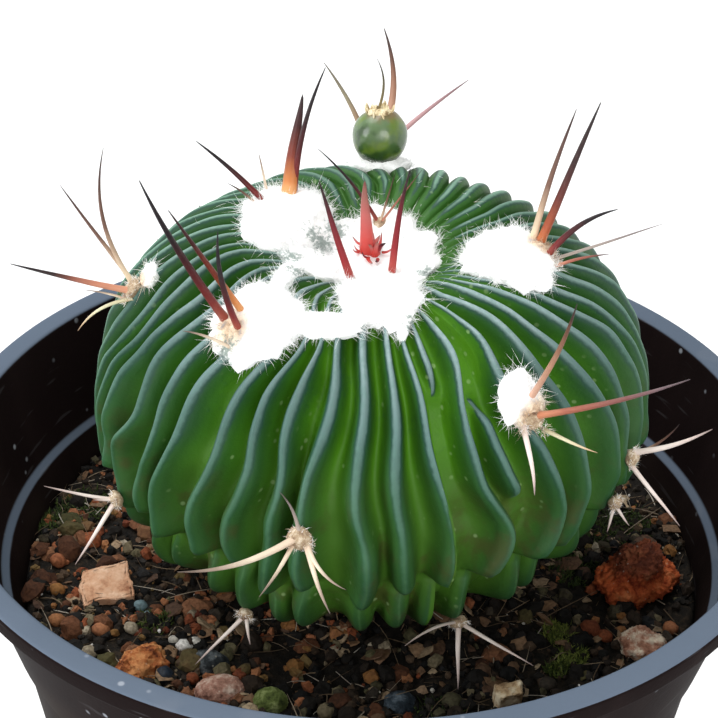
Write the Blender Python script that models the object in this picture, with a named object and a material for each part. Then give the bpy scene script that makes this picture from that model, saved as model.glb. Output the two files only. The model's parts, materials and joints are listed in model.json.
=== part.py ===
"""A potted brain cactus: one ribbed ball with woolly areoles, long spines and a fruit, in a round pot.

Units are metres with +Z up. The origin is the centre of the pot's foot, on the surface that the pot stands on.
The long spines, stones and wool tufts are placed by hand, and the ribs at the back follow a rule.
Azimuths are in degrees round the pot: 0 is +X, 90 is +Y and 270 is the front.
"""

import math

import bmesh
import bpy
import numpy as np
from mathutils import Matrix, Vector, noise

MM = 0.001
GAP = 0.3 * MM

# Pot, as radii and heights in millimetres
POT_HEIGHT = 85.0
RIM_RADIUS = 50.0
RIM_INNER_RADIUS = 47.0
RIM_THICKNESS = 2.6
COLLAR_TOP_RADIUS = 47.4
COLLAR_BOTTOM_RADIUS = 43.2
COLLAR_BOTTOM_DEPTH = 19.0
STEP_WIDTH = 0.9
FOOT_RADIUS = 32.6
FOOT_RING_WIDTH = 3.2
FOOT_RISE = 2.0
WALL = 1.2
LEDGE_DEPTH = 14.0
LEDGE_RADIUS = 42.5
LEDGE_WIDTH = 1.1
FLOOR_THICKNESS = 2.0
POT_STEPS = 36
SLOT_COUNT = 6
SLOT_WIDTH = 3.6
SLOT_LENGTH = 9.0
SLOT_CENTRE_RADIUS = 20.0

# Soil
SOIL_DEPTH = 17.8
SOIL_LUMP = 0.55
SOIL_CLEARANCE = 0.45
SOIL_STEPS = 28
SOIL_RING_RADII = (36.0, 29.0, 21.0)
ROOT_HOLE_RADIUS = 8.0
ROOT_HOLE_DEPTH = 35.5

# Body: radius and height over the rim of the crest line, from the crown down, in millimetres
BODY_PROFILE = (
    (0.0, 22.3),
    (5.0, 23.4),
    (11.0, 26.2),
    (17.5, 27.3),
    (24.0, 24.8),
    (29.4, 18.6),
    (32.3, 8.5),
    (31.4, -1.0),
    (27.6, -8.0),
    (22.0, -12.2),
    (14.0, -15.2),
)
NECK_RADIUS = 7.4
NECK_HEIGHT = -18.0
ROOT_TIP = -34.0
BODY_CENTRE = (0.9, 0.6)
BODY_LEAN = 0.07
BODY_LEAN_HEIGHT = 6.0
DEPTH_SHARE = 0.955
CORNER_SHRINK = 0.02

# Ribs: a share of the way down the body, from crown to neck, goes with each value
SAMPLE_PLACES = (0.0, 0.34, 0.66)
BODY_ROWS = 17
FIRST_ROW_SHARE = 0.012
ROW_SPREAD = 0.96
CREST_SHARES = (0.2, 0.3, 0.4, 0.5, 0.6, 0.7)
VALLEY_SHARES = (0.0, 0.1, 0.2, 0.3, 0.45, 0.62, 0.72, 0.9, 1.0)
VALLEY_DEPTHS = (0.0, 1.2, 2.4, 3.4, 4.3, 4.6, 4.2, 2.2, 0.0)
FRONT_CRESTS = (
    (187, 195, 199, 192, 188, 187),
    (193, 202, 203.5, 197, 193, 193),
    (203, 211, 208, 202, 198, 199),
    (212, 220, 214, 213, 204, 206),
    (220, 226, 222, 220, 215, 214),
    (227, 234, 229, 226, 220.5, 220),
    (238, 245, 239, 237, 232, 232),
    (246, 251, 245.5, 245, 241, 241),
    (252, 255, 252, 252, 249.5, 249),
    (258, 260, 261, 257.5, 256.5, 257),
    (266, 267, 268, 267, 269, 269),
    (271, 274, 275, 274, 277, 279),
    (276, 278, 281, 283, 286, 286),
    (283, 290, 289.5, 291.5, 297.5, 293),
    (290, 299, 301.5, 307, 311.5, 307),
    (299, 308, 312.5, 316, 317.5, 315),
    (309, 315.5, 322.5, 328, 329, 328),
    (315, 323, 331, 334, 333, 334),
    (321, 329, 341, 344, 343, 342),
    (329, 336, 346, 351, 352, 351),
)
# Short ribs that rise and end on the body: crest azimuths, then the shares where each starts and ends
SHORT_RIBS = (
    ((280, 282.5, 285.3, 287, 289, 289), 0.08, 0.36),
    ((287, 294.5, 293.5, 297.5, 302, 300), 0.40, 0.55),
)
BACK_RIB_COUNT = 25
BACK_WAVE = 1.7
RIB_START = 0.03
RIB_END = 0.665
RIB_END_SWING = 0.045
RIB_END_FACING = 262
LOBE_LENGTH = 0.2
LOBE_RISE = 0.95
RIB_FADE = 0.03
NOTCH = 0.02
SHORT_RIB_LIMIT = 0.58
SHORT_RIB_FADE = 0.05
NARROW_VALLEY = 3.0

# Areoles: place on the body as azimuth and share, and the spines as heading, rise, length, bow, sway and width.
# A bow drops the middle of a spine under its line and a sway takes it to one side, in millimetres.
AREOLES = {
    "left": ((189, 0.38), (
        (192, 19, 13.8, 0.1, 0.1, 1.0),
        (151, 49, 13.9, 0, 0, 0.8),
        (126, 73, 16.1, 0.7, 1.5, 0.8),
        (211, -27, 7.6, -0.6, -0.4, 0.7),
    )),
    "front_left": ((232, 0.32), (
        (228, 61, 24.6, 0.4, -0.2, 1.3),
        (218, 65, 18.0, 0, 0, 1.1),
        (248, 75, 13.8, 0.4, -0.6, 0.9),
        (216, 18, 6.8, -0.3, -0.1, 0.7),
    )),
    "back_left": ((146, 0.19), (
        (180, 41, 12.0, -0.2, -0.1, 1.0),
        (58, 66, 12.9, 0, 0, 2.0),
        (14, 71, 17.4, -0.7, 0.2, 1.1),
        (161, 71, 6.6, 0, 0, 0.6),
        (205, 33, 7.1, -0.2, -0.1, 0.6),
    )),
    "crown": ((113, 0.03), (
        (260, 79, 11.4, 0, 0, 1.8),
    )),
    "crown_left": ((245, 0.08), (
        (146, 68, 12.2, 0, 0, 1.1),
    )),
    "crown_right": ((318, 0.035), (
        (44, 79, 12.8, -0.2, 0.2, 1.0),
    )),
    "crown_back": ((86, 0.105), (
        (180, 53, 12.0, -0.5, -0.1, 0.8),
        (323, 74, 7.7, 0, 0, 0.5),
        (335, 58, 9.6, 0, 0, 0.5),
    )),
    "right": ((351.5, 0.255), (
        (39, 79, 16.3, -0.1, 0.2, 0.9),
        (19, 73, 17.8, 0, 0, 1.3),
        (352, 37, 9.5, -0.8, 0.3, 1.1),
        (11, 9, 13.6, 0, 0, 0.6),
        (335, 10, 7.5, -0.2, 0.1, 0.7),
    )),
    "fruiting": ((91, 0.31), (
        (118, 31, 15.4, -0.3, -0.6, 0.9),
        (85, 38, 18.6, 0.2, -1.8, 1.2),
        (40, 23, 17.0, -0.3, 0.3, 0.9),
    )),
    "front_right": ((304.5, 0.435), (
        (302, 72, 17.2, 0.3, 0.3, 0.9),
        (310, 37, 24.1, 0.4, -0.1, 1.0),
        (304, 9, 10.2, 0.1, -0.1, 0.7),
        (270, -38, 8.3, 0, 0.2, 0.8),
    )),
    "front": ((257, 0.575), (
        (214, 7, 14.3, 0.7, 0.6, 0.9),
        (246, -6, 9.2, 0.1, 0.1, 0.7),
        (292, -19, 9.4, 0.1, -0.2, 0.8),
        (309, -12, 8.0, 0.4, -0.7, 0.7),
        (239, 66, 9.0, -0.3, 0.2, 0.6),
    )),
    "low_left": ((207, 0.675), (
        (191, 20, 8.4, 0.1, 0.1, 0.7),
        (239, -28, 8.8, 0, 0, 0.8),
        (209, 18, 2.9, 0, 0, 0.6),
    )),
    "low_right": ((333.5, 0.585), (
        (344, 34, 9.9, 0.4, -0.2, 0.9),
        (301, -22, 9.6, 0, 0, 0.8),
        (1, 44, 6.6, 0.4, -0.3, 0.6),
    )),
    "bottom": ((295.5, 0.825), (
        (239, 24, 13.3, -0.4, -0.3, 0.6),
        (269, -33, 7.7, 0, 0, 0.8),
        (319, -1, 10.5, 0, 0, 0.7),
    )),
    "bottom_left": ((242, 0.805), (
        (223, -23, 7.9, 0, 0, 0.7),
        (280, -9, 4.4, 0, 0, 0.6),
    )),
    "right_low": ((328.8, 0.645), (
        (244, -55, 3.4, 0.1, 0, 0.6),
        (309, -34, 3.0, 0.2, 0, 0.6),
    )),
}
# Rings along a spine: share of its length, then share of its width
SPINE_TAPER = ((-0.06, 1.0), (0.32, 0.8), (0.68, 0.46), (1.0, 0.0))
SPINE_FLATNESS = 0.14
# The areoles at the back, where the plant is hidden: azimuth, share and how long their spines are
BACK_AREOLES = (
    (51.6, 0.57, 0.9),
    (70, 0.48, 0.6),
    (66.2, 0.72, 1.0),
    (84, 0.55, 0.95),
    (97, 0.69, 1.1),
    (108, 0.48, 0.6),
    (134.4, 0.57, 0.9),
    (124, 0.52, 0.8),
)
YOUNG_SHARE = 0.5
LOW_SHARE = 0.64
CUSHION_SIZE = 0.6
CUSHION_SIZE_PER_SPINE = 0.15
CUSHION_RISE = 0.75
CUSHION_LIFT = 0.2
BACK_SPINES = (
    (0, 12, 11.0, -0.4, 0.3, 0.9),
    (-26, 24, 9.0, 0.3, -0.3, 0.8),
    (27, 20, 8.5, -0.3, 0.3, 0.8),
    (4, -20, 6.5, -0.3, 0, 0.7),
)

# Wool pads: centre in plan from the crown, or azimuth and share, then the half sizes along, across and out
CROWN_PADS = (
    ((0.0, 1.5), (7.2, 8.2), 0, 2.0),
    ((0.2, -12.0), (4.9, 7.6), 0, 1.9),
    ((-10.8, -6.0), (2.0, 8.8), 0, 1.8),
    ((-10.6, -16.8), (7.6, 4.8), -32, 2.9),
    ((-10.2, 5.6), (5.4, 7.0), -20, 2.9),
)
RIGHT_PAD = ((14.6, -4.6), (4.9, 6.6), 12, 2.3)
FRUIT_PAD = ((0.8, 20.6), (4.6, 3.4), 0, 2.0)
SIDE_PADS = {
    "left": ((189.5, 0.352), (1.9, 1.7), 1.3),
    "front_right": ((301.5, 0.4), (2.6, 3.5), 1.7),
}
PAD_SINK = 1.6
PAD_TUFT = 0.5
PAD_EDGE = 0.22
BACK_PAD_SIZE = (2.4, 2.6)
BACK_PAD_RISE = 1.5
BACK_PAD_STEP = 0.035

# Fruit with the dried flower on it
FRUIT_PLACE = (1.4, 20.9, 29.8)
FRUIT_RADIUS = 3.3
FRUIT_STRETCH = 1.06
REMAINS_RADIUS = 1.4
REMAINS_HEIGHT = 1.3
STYLE_LENGTH = 6.4

# Stones: kind, centre in plan, height of the centre over the soil, half sizes, turn
STONES = {
    "lava_stone": ("lump", (33.3, -5.4), 2.8, (4.9, 4.0, 5.2), 20),
    "clay_chip": ("chip", (-30.4, -7.4), 0.8, (3.3, 2.9, 1.0), 14),
    "orange_stone": ("lump", (-24.6, -20.6), 0.4, (3.1, 2.6, 2.0), 40),
    "pale_chunk": ("lump", (33.0, -16.3), 0.6, (3.2, 2.3, 2.3), -30),
    "pink_pebble": ("pebble", (-15.6, -24.6), 0.3, (3.0, 2.2, 1.6), 10),
    "olive_pebble": ("pebble", (-9.9, -26.4), 0.5, (2.1, 1.8, 1.7), 0),
    "grey_pebble": ("pebble", (-17.2, -20.0), 0.3, (2.5, 1.8, 1.5), -15),
    "blue_pebble": ("pebble", (4.6, -26.2), 0.3, (2.0, 1.7, 1.4), 5),
    "tan_sliver": ("chip", (16.6, -26.0), 1.1, (1.7, 1.0, 2.2), 10),
}
STONE_ROUGHNESS = {"lump": 0.22, "pebble": 0.06}

# Colour and roughness of each material
FINISHES = {
    "pot_plastic": ((0.05, 0.055, 0.065), 0.45),
    "soil": ((0.045, 0.032, 0.022), 0.95),
    "skin": ((0.055, 0.14, 0.035), 0.5),
    "wool": ((0.85, 0.85, 0.82), 0.9),
    "young_spine": ((0.12, 0.03, 0.018), 0.4),
    "old_spine": ((0.55, 0.47, 0.37), 0.6),
    "fruit": ((0.12, 0.2, 0.06), 0.45),
    "dried_flower": ((0.6, 0.52, 0.34), 0.8),
    "red_stone": ((0.4, 0.12, 0.05), 0.9),
    "clay": ((0.62, 0.36, 0.23), 0.85),
    "grey_stone": ((0.09, 0.1, 0.11), 0.8),
    "pale_stone": ((0.5, 0.38, 0.27), 0.85),
    "olive_stone": ((0.17, 0.2, 0.08), 0.8),
}
STONE_FINISHES = {
    "lava_stone": "red_stone",
    "clay_chip": "clay",
    "orange_stone": "red_stone",
    "pale_chunk": "pale_stone",
    "pink_pebble": "clay",
    "olive_pebble": "olive_stone",
    "grey_pebble": "grey_stone",
    "blue_pebble": "grey_stone",
    "tan_sliver": "pale_stone",
}


# Helpers


def clear_scene():
    for old in list(bpy.data.objects):
        bpy.data.objects.remove(old, do_unlink=True)


def material(finish):
    found = bpy.data.materials.get(finish)
    if found:
        return found
    colour, roughness = FINISHES[finish]
    made = bpy.data.materials.new(finish)
    made.use_nodes = True
    shader = made.node_tree.nodes["Principled BSDF"]
    shader.inputs["Base Color"].default_value = (*colour, 1.0)
    shader.inputs["Roughness"].default_value = roughness
    shader.inputs["Metallic"].default_value = 0.0
    made.diffuse_color = (*colour, 1.0)
    return made


def object_from(bm, name):
    """Gives the bmesh outward faces and makes it an object."""
    bm.normal_update()
    bmesh.ops.recalc_face_normals(bm, faces=bm.faces)
    mesh = bpy.data.meshes.new(name)
    bm.to_mesh(mesh)
    bm.free()
    made = bpy.data.objects.new(name, mesh)
    bpy.context.scene.collection.objects.link(made)
    return made


def finish(obj, name, look, sharp_degrees=40):
    obj.name = name
    obj.data.name = name
    obj.data.materials.clear()
    obj.data.materials.append(material(look))
    obj.data.shade_smooth()
    obj.data.set_sharp_from_angle(angle=math.radians(sharp_degrees))
    return obj


def combine(base, others, operation):
    """Joins the others to the base, or cuts them from it, and removes them."""
    if not others:
        return base
    tools = bpy.data.collections.new("tools")
    bpy.context.scene.collection.children.link(tools)
    for tool in others:
        bpy.context.scene.collection.objects.unlink(tool)
        tools.objects.link(tool)
    change = base.modifiers.new(operation.title(), "BOOLEAN")
    change.operation = operation
    change.operand_type = "COLLECTION"
    change.collection = tools
    change.solver = "EXACT"
    result = bpy.data.meshes.new_from_object(base.evaluated_get(bpy.context.evaluated_depsgraph_get()))
    base.modifiers.clear()
    base.data = result
    for tool in others:
        bpy.data.objects.remove(tool, do_unlink=True)
    bpy.data.collections.remove(tools)
    return base


def keep_largest(obj):
    """Drops the loose scraps that a cut leaves."""
    bm = bmesh.new()
    bm.from_mesh(obj.data)
    unseen = set(bm.verts)
    pieces = []
    while unseen:
        piece = set()
        edge_of_piece = [unseen.pop()]
        while edge_of_piece:
            vert = edge_of_piece.pop()
            piece.add(vert)
            for edge in vert.link_edges:
                other = edge.other_vert(vert)
                if other in unseen:
                    unseen.remove(other)
                    edge_of_piece.append(other)
        pieces.append(piece)
    largest = max(pieces, key=len)
    scraps = [vert for vert in bm.verts if vert not in largest]
    bmesh.ops.delete(bm, geom=scraps, context="VERTS")
    bm.to_mesh(obj.data)
    bm.free()


def smooth_value(knots, values, x):
    """The cubic curve through the values at the knots, held level beyond its ends."""
    knots = np.asarray(knots, float)
    values = np.asarray(values, float)
    slopes = np.gradient(values, knots)
    x = np.clip(x, knots[0], knots[-1])
    i = np.clip(np.searchsorted(knots, x) - 1, 0, len(knots) - 2)
    step = knots[i + 1] - knots[i]
    t = (x - knots[i]) / step
    level = values[i] * (1 + 2 * t) * (1 - t) ** 2 + values[i + 1] * t * t * (3 - 2 * t)
    return level + step * (slopes[i] * t * (1 - t) ** 2 + slopes[i + 1] * t * t * (t - 1))


def smooth_step(low, high, x):
    t = min(max((x - low) / (high - low), 0.0), 1.0)
    return t * t * (3 - 2 * t)


def direction(heading, rise):
    h = math.radians(heading)
    r = math.radians(rise)
    return Vector((math.cos(r) * math.cos(h), math.cos(r) * math.sin(h), math.sin(r)))


# The body's form


def profile_shares():
    points = np.array(BODY_PROFILE)
    lengths = np.hypot(*np.diff(points, axis=0).T)
    travelled = np.concatenate(([0.0], np.cumsum(lengths)))
    return travelled / travelled[-1], travelled[-1]


PROFILE_SHARES, PROFILE_LENGTH = profile_shares()
PROFILE_RADII, PROFILE_HEIGHTS = np.array(BODY_PROFILE).T


def profile_point(share):
    radius = float(smooth_value(PROFILE_SHARES, PROFILE_RADII, share))
    height = float(smooth_value(PROFILE_SHARES, PROFILE_HEIGHTS, share))
    return radius, height


def profile_normal(share):
    """The outward normal of the profile, as its radial and upward parts."""
    low = profile_point(max(share - 0.005, 0.0))
    high = profile_point(min(share + 0.005, 1.0))
    slope = Vector((low[1] - high[1], high[0] - low[0]))
    return slope.normalized()


def turned_point(azimuth, radius, height):
    """A point of the body from its radius and height over the rim, in metres."""
    angle = math.radians(azimuth)
    radius *= 1.0 - CORNER_SHRINK * math.sin(2 * angle) ** 2
    lean = BODY_LEAN * min(0.0, height - BODY_LEAN_HEIGHT)
    x = BODY_CENTRE[0] + lean + radius * math.cos(angle)
    y = BODY_CENTRE[1] + DEPTH_SHARE * radius * math.sin(angle)
    return Vector((x, y, POT_HEIGHT + height)) * MM


def neck_centre():
    """Where the neck and the root stand in the soil, in millimetres."""
    x, y, _ = turned_point(0, 0.0, NECK_HEIGHT) / MM
    return x, y


def body_point(azimuth, share, lift=0.0):
    """A point on the crest line's surface, or lifted off it along its normal."""
    radius, height = profile_point(share)
    outward, upward = profile_normal(share)
    return turned_point(azimuth, max(radius + lift * outward, 0.0), height + lift * upward)


def body_normal(azimuth, share):
    return (body_point(azimuth, share, 1.0) - body_point(azimuth, share)).normalized()


def plan_place(x, y):
    """Azimuth and share of the place on the upper body that is x and y millimetres from the crown in plan."""
    radius = math.hypot(x, y / DEPTH_SHARE)
    upper = PROFILE_SHARES <= PROFILE_SHARES[6]
    share = float(np.interp(radius, PROFILE_RADII[upper], PROFILE_SHARES[upper]))
    for _ in range(3):
        share += (radius - profile_point(share)[0]) / PROFILE_LENGTH
        share = max(share, 0.0)
    return math.degrees(math.atan2(y / DEPTH_SHARE, x)), share


def rib_end(azimuth):
    swing = math.cos(math.radians(azimuth - RIB_END_FACING))
    return RIB_END + RIB_END_SWING * swing + 0.012 * math.sin(math.radians(azimuth * 7.3))


def back_crests():
    """Crest azimuths of the ribs between the last and the first of the front ones, in slow waves."""
    last = np.array(FRONT_CRESTS[-1], float)
    first = np.array(FRONT_CRESTS[0], float) + 360.0
    crests = []
    for k in range(1, BACK_RIB_COUNT + 1):
        along = k / (BACK_RIB_COUNT + 1)
        wave = [BACK_WAVE * math.sin(9.0 * share + 0.62 * k) for share in CREST_SHARES]
        fade = math.sin(math.pi * along) ** 0.3
        crests.append(last + along * (first - last) + fade * np.array(wave))
    return crests


def all_ribs():
    """Each rib as its crest azimuths and the shares where it starts and ends, in order round the body."""
    ribs = [(np.array(crest, float), RIB_START, rib_end(crest[4])) for crest in FRONT_CRESTS]
    ribs += [(crest, RIB_START, rib_end(crest[4])) for crest in back_crests()]
    ribs += [(np.array(crest, float), start, end) for crest, start, end in SHORT_RIBS]
    return sorted(ribs, key=lambda rib: rib[0][2])


def crest_rise(rib, share):
    """How far a crest stands up at this share, from 0 in the valley to 1 on the crest line."""
    _, start, end = rib
    rise = smooth_step(start - RIB_FADE, start + RIB_FADE, share)
    if end < SHORT_RIB_LIMIT:
        return rise * (1.0 - smooth_step(end - SHORT_RIB_FADE, end + NOTCH, share))
    notch = 1.0 - smooth_step(end - NOTCH, end + NOTCH, share)
    lobe = math.sin(math.pi * min(max((share - end) / LOBE_LENGTH, 0.0), 1.0))
    return rise * max(notch, LOBE_RISE * lobe)


RIBS = all_ribs()


def surface_lift(azimuth, share):
    """How far the crest nearest to a place lies off the crest line, which is down into the body."""
    def distance(rib):
        apart = (float(smooth_value(CREST_SHARES, rib[0], share)) - azimuth) % 360.0
        return min(apart, 360.0 - apart)

    nearest = min(RIBS, key=distance)
    valley = float(smooth_value(VALLEY_SHARES, VALLEY_DEPTHS, share))
    return -valley * (1.0 - crest_rise(nearest, share))


def make_body():
    samples = len(SAMPLE_PLACES)
    columns = len(RIBS) * samples
    spread = 1.0 - FIRST_ROW_SHARE
    shares = [FIRST_ROW_SHARE + spread * (row / (BODY_ROWS - 1)) ** ROW_SPREAD for row in range(BODY_ROWS)]
    rows = len(shares) + 3
    bm = bmesh.new()
    bmesh.ops.create_grid(bm, x_segments=columns, y_segments=rows - 1, size=1.0)
    valley = [float(smooth_value(VALLEY_SHARES, VALLEY_DEPTHS, share)) for share in shares]
    azimuths = [[float(smooth_value(CREST_SHARES, rib[0], share)) for share in shares] for rib in RIBS]
    rises = [[crest_rise(rib, share) for share in shares] for rib in RIBS]
    for vert in bm.verts:
        column = round((vert.co.x + 1.0) * 0.5 * columns) % columns
        row = round((vert.co.y + 1.0) * 0.5 * (rows - 1))
        rib, sample = divmod(column, samples)
        after = (rib + 1) % len(RIBS)
        part = SAMPLE_PLACES[sample]
        if row == 0:
            vert.co = body_point(0, 0.0)
        elif row <= len(shares):
            level = row - 1
            turn = 360.0 if after == 0 else 0.0
            here = azimuths[rib][level]
            width = azimuths[after][level] + turn - here
            rise = rises[rib][level] if sample == 0 else 0.0
            narrow = min(1.0, math.radians(width) * profile_point(shares[level])[0] / NARROW_VALLEY)
            sink = valley[level] * (1.0 - rise) * (narrow if sample else 1.0)
            vert.co = body_point(here + part * width, shares[level], -sink)
        elif row == rows - 2:
            azimuth = (rib + part) * 360.0 / len(RIBS) + azimuths[0][-1]
            vert.co = turned_point(azimuth, NECK_RADIUS, NECK_HEIGHT)
        else:
            vert.co = Vector((*neck_centre(), POT_HEIGHT + ROOT_TIP)) * MM
    bmesh.ops.remove_doubles(bm, verts=bm.verts, dist=1e-6)
    return object_from(bm, "cactus_body")


# Wool, spines and fruit


def make_pad(place_of, rise, grow=0.0, sides=12):
    """A tufted pad of wool over the body, from a sphere whose plan is given by place_of."""
    bm = bmesh.new()
    bmesh.ops.create_uvsphere(bm, u_segments=sides, v_segments=sides // 2, radius=1.0)
    for vert in bm.verts:
        x, y, z = vert.co
        edge = 1.0 + PAD_EDGE * noise.noise(Vector((x, y, rise)) * 1.9)
        tuft = 1.0 + PAD_TUFT * noise.noise(Vector((x, y, 3 * rise)) * 2.6)
        azimuth, share = place_of(x * edge, y * edge, grow)
        out = (rise * tuft + grow) * z if z > 0 else (PAD_SINK + grow) * z
        vert.co = body_point(azimuth, share, out)
    return object_from(bm, "pad")


def plan_pad(pad, grow=0.0):
    (centre_x, centre_y), (along, across), turn, rise = pad
    c = math.cos(math.radians(turn))
    s = math.sin(math.radians(turn))

    def place_of(x, y, grow):
        u = x * (along + grow)
        v = y * (across + grow)
        return plan_place(centre_x + u * c - v * s, centre_y + u * s + v * c)

    return make_pad(place_of, rise, grow)


def side_pad(pad, grow=0.0):
    (azimuth, share), (along, across), rise = pad
    radius = profile_point(share)[0]

    def place_of(x, y, grow):
        return azimuth + math.degrees(x * (along + grow) / radius), share + y * (across + grow) / PROFILE_LENGTH

    return make_pad(place_of, rise, grow, 10)


def make_crown_wool(grow=0.0):
    first, *others = [plan_pad(pad, grow) for pad in CROWN_PADS]
    return combine(first, others, "UNION")


def make_spine(base, spine, grow=0.0, sides=4):
    """A tapered, slightly flattened spine with its root in the cushion, which may bow along its length."""
    heading, rise, length, bow, sway, width = spine
    ahead = direction(heading, rise)
    upward = direction(heading, rise + 90)
    across = ahead.cross(upward)
    last = len(SPINE_TAPER) - 1
    bm = bmesh.new()
    bmesh.ops.create_grid(bm, x_segments=sides, y_segments=last, size=1.0)
    for vert in bm.verts:
        angle = math.pi * (vert.co.x + 1.0)
        ring = round((vert.co.y + 1.0) * 0.5 * last)
        share, size = SPINE_TAPER[ring]
        reach = length * share + (grow if ring == last else 0.0)
        centre = base + (ahead * reach - (upward * bow + across * sway) * 4 * share * (1 - share)) * MM
        wide = width * 0.5 * size + grow
        thin = wide - width * SPINE_FLATNESS * size
        vert.co = centre + (across * math.cos(angle) * wide + upward * math.sin(angle) * thin) * MM
    bmesh.ops.remove_doubles(bm, verts=bm.verts, dist=1e-6)
    bmesh.ops.holes_fill(bm, edges=bm.edges, sides=0)
    return object_from(bm, "spine")


def make_cushion(azimuth, share, lift, size, grow=0.0):
    """The woody cushion that a cluster's spines grow from."""
    bm = bmesh.new()
    bmesh.ops.create_uvsphere(bm, u_segments=6, v_segments=4, radius=1.0)
    facing = body_normal(azimuth, share).to_track_quat("Z", "Y").to_matrix().to_4x4()
    sizes = Matrix.Diagonal(((size + grow) * MM, (size + grow) * MM, (CUSHION_RISE + grow) * MM, 1.0))
    bm.transform(Matrix.Translation(body_point(azimuth, share, lift)) @ facing @ sizes)
    return object_from(bm, "cushion")


def make_cluster(areole, grow=0.0):
    (azimuth, share), spines = areole
    lift = surface_lift(azimuth, share) if share > LOW_SHARE else 0.0
    size = CUSHION_SIZE + CUSHION_SIZE_PER_SPINE * len(spines)
    base = body_point(azimuth, share, lift + CUSHION_LIFT)
    cushion = make_cushion(azimuth, share, lift, size, grow)
    return combine(cushion, [make_spine(base, spine, grow) for spine in spines], "UNION")


def back_areole(azimuth, share, growth, number):
    """A hidden areole's place and spines, turned a little from one to the next."""
    twist = 9 * math.sin(2.4 * number)
    spines = [
        (azimuth + turn + twist, rise + 28 * (0.5 - share), length * growth, bow, sway, width)
        for turn, rise, length, bow, sway, width in BACK_SPINES
    ]
    return (azimuth, share), spines


def make_fruit(grow=0.0):
    bm = bmesh.new()
    bmesh.ops.create_uvsphere(bm, u_segments=12, v_segments=8, radius=1.0)
    size = (FRUIT_RADIUS + grow) * MM
    centre = Vector(FRUIT_PLACE) * MM + Vector((0, 0, POT_HEIGHT * MM))
    bm.transform(Matrix.Translation(centre) @ Matrix.Diagonal((size, size, size * FRUIT_STRETCH, 1.0)))
    return object_from(bm, "fruit")


def make_remains(grow=0.0):
    """The ragged dry tube of the flower on the fruit, with the thin bent style."""
    top = Vector(FRUIT_PLACE) * MM + Vector((0, 0, (POT_HEIGHT + FRUIT_RADIUS * FRUIT_STRETCH - 0.6) * MM))
    bm = bmesh.new()
    made = bmesh.ops.create_cone(
        bm,
        cap_ends=True,
        segments=10,
        radius1=(REMAINS_RADIUS + grow) * MM,
        radius2=(REMAINS_RADIUS * 1.25 + grow) * MM,
        depth=(REMAINS_HEIGHT + 2 * grow) * MM,
    )["verts"]
    for number, vert in enumerate(made):
        if vert.co.z > 0 and not grow:
            vert.co.z += 0.35 * MM * math.sin(2.7 * number)
    bmesh.ops.translate(bm, verts=made, vec=top + Vector((0, 0, REMAINS_HEIGHT * 0.5 * MM)))
    tube = object_from(bm, "tube")
    style = make_spine(top + Vector((-0.3, 0, 0.5)) * MM, (110, 82, STYLE_LENGTH, 0, -0.8, 0.5), grow)
    return combine(tube, [style], "UNION")


# Pot, soil and stones


def make_turned(profile, steps):
    """A closed turned solid from a closed outline of radii and heights in millimetres."""
    bm = bmesh.new()
    verts = [bm.verts.new((radius * MM, 0, height * MM)) for radius, height in profile]
    edges = [bm.edges.new((a, b)) for a, b in zip(verts, verts[1:] + verts[:1])]
    bmesh.ops.spin(
        bm,
        geom=verts + edges,
        cent=(0, 0, 0),
        axis=(0, 0, 1),
        angle=math.tau,
        steps=steps,
        use_merge=True,
    )
    bmesh.ops.remove_doubles(bm, verts=bm.verts, dist=1e-6)
    return object_from(bm, "turned")


def wall_radius(height, inner=False):
    """Radius of the lower wall at a height over the foot."""
    top = POT_HEIGHT - COLLAR_BOTTOM_DEPTH
    share = height / top
    outer = FOOT_RADIUS + share * (COLLAR_BOTTOM_RADIUS - STEP_WIDTH - FOOT_RADIUS)
    return outer - WALL if inner else outer


def make_pot():
    collar_bottom = POT_HEIGHT - COLLAR_BOTTOM_DEPTH
    rim_bottom = POT_HEIGHT - RIM_THICKNESS
    ledge = POT_HEIGHT - LEDGE_DEPTH
    floor_top = FOOT_RISE + FLOOR_THICKNESS
    profile = (
        (0.0, FOOT_RISE),
        (FOOT_RADIUS - FOOT_RING_WIDTH - 1.2, FOOT_RISE),
        (FOOT_RADIUS - FOOT_RING_WIDTH, 0.0),
        (FOOT_RADIUS - 0.5, 0.0),
        (FOOT_RADIUS, 0.6),
        (wall_radius(collar_bottom), collar_bottom - 1.0),
        (COLLAR_BOTTOM_RADIUS, collar_bottom),
        (COLLAR_TOP_RADIUS, rim_bottom - 0.6),
        (RIM_RADIUS - 0.5, rim_bottom),
        (RIM_RADIUS, rim_bottom + 0.6),
        (RIM_RADIUS, POT_HEIGHT - 0.7),
        (RIM_RADIUS - 0.6, POT_HEIGHT),
        (RIM_INNER_RADIUS + 0.5, POT_HEIGHT),
        (RIM_INNER_RADIUS, POT_HEIGHT - 0.6),
        (LEDGE_RADIUS + LEDGE_WIDTH, ledge + 0.4),
        (LEDGE_RADIUS, ledge),
        (wall_radius(collar_bottom, inner=True), collar_bottom),
        (wall_radius(floor_top, inner=True), floor_top),
        (0.0, floor_top),
    )
    pot = make_turned(profile, POT_STEPS)
    slots = []
    for number in range(SLOT_COUNT):
        bm = bmesh.new()
        size = (SLOT_LENGTH * MM, SLOT_WIDTH * MM, 3 * floor_top * MM, 1.0)
        place = Matrix.Translation((SLOT_CENTRE_RADIUS * MM, 0, 0))
        turn = Matrix.Rotation(math.tau * number / SLOT_COUNT, 4, "Z")
        bmesh.ops.create_cube(bm, size=1.0, matrix=turn @ place @ Matrix.Diagonal(size))
        slots.append(object_from(bm, "slot"))
    combine(pot, slots, "DIFFERENCE")
    return finish(pot, "pot", "pot_plastic")


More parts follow.
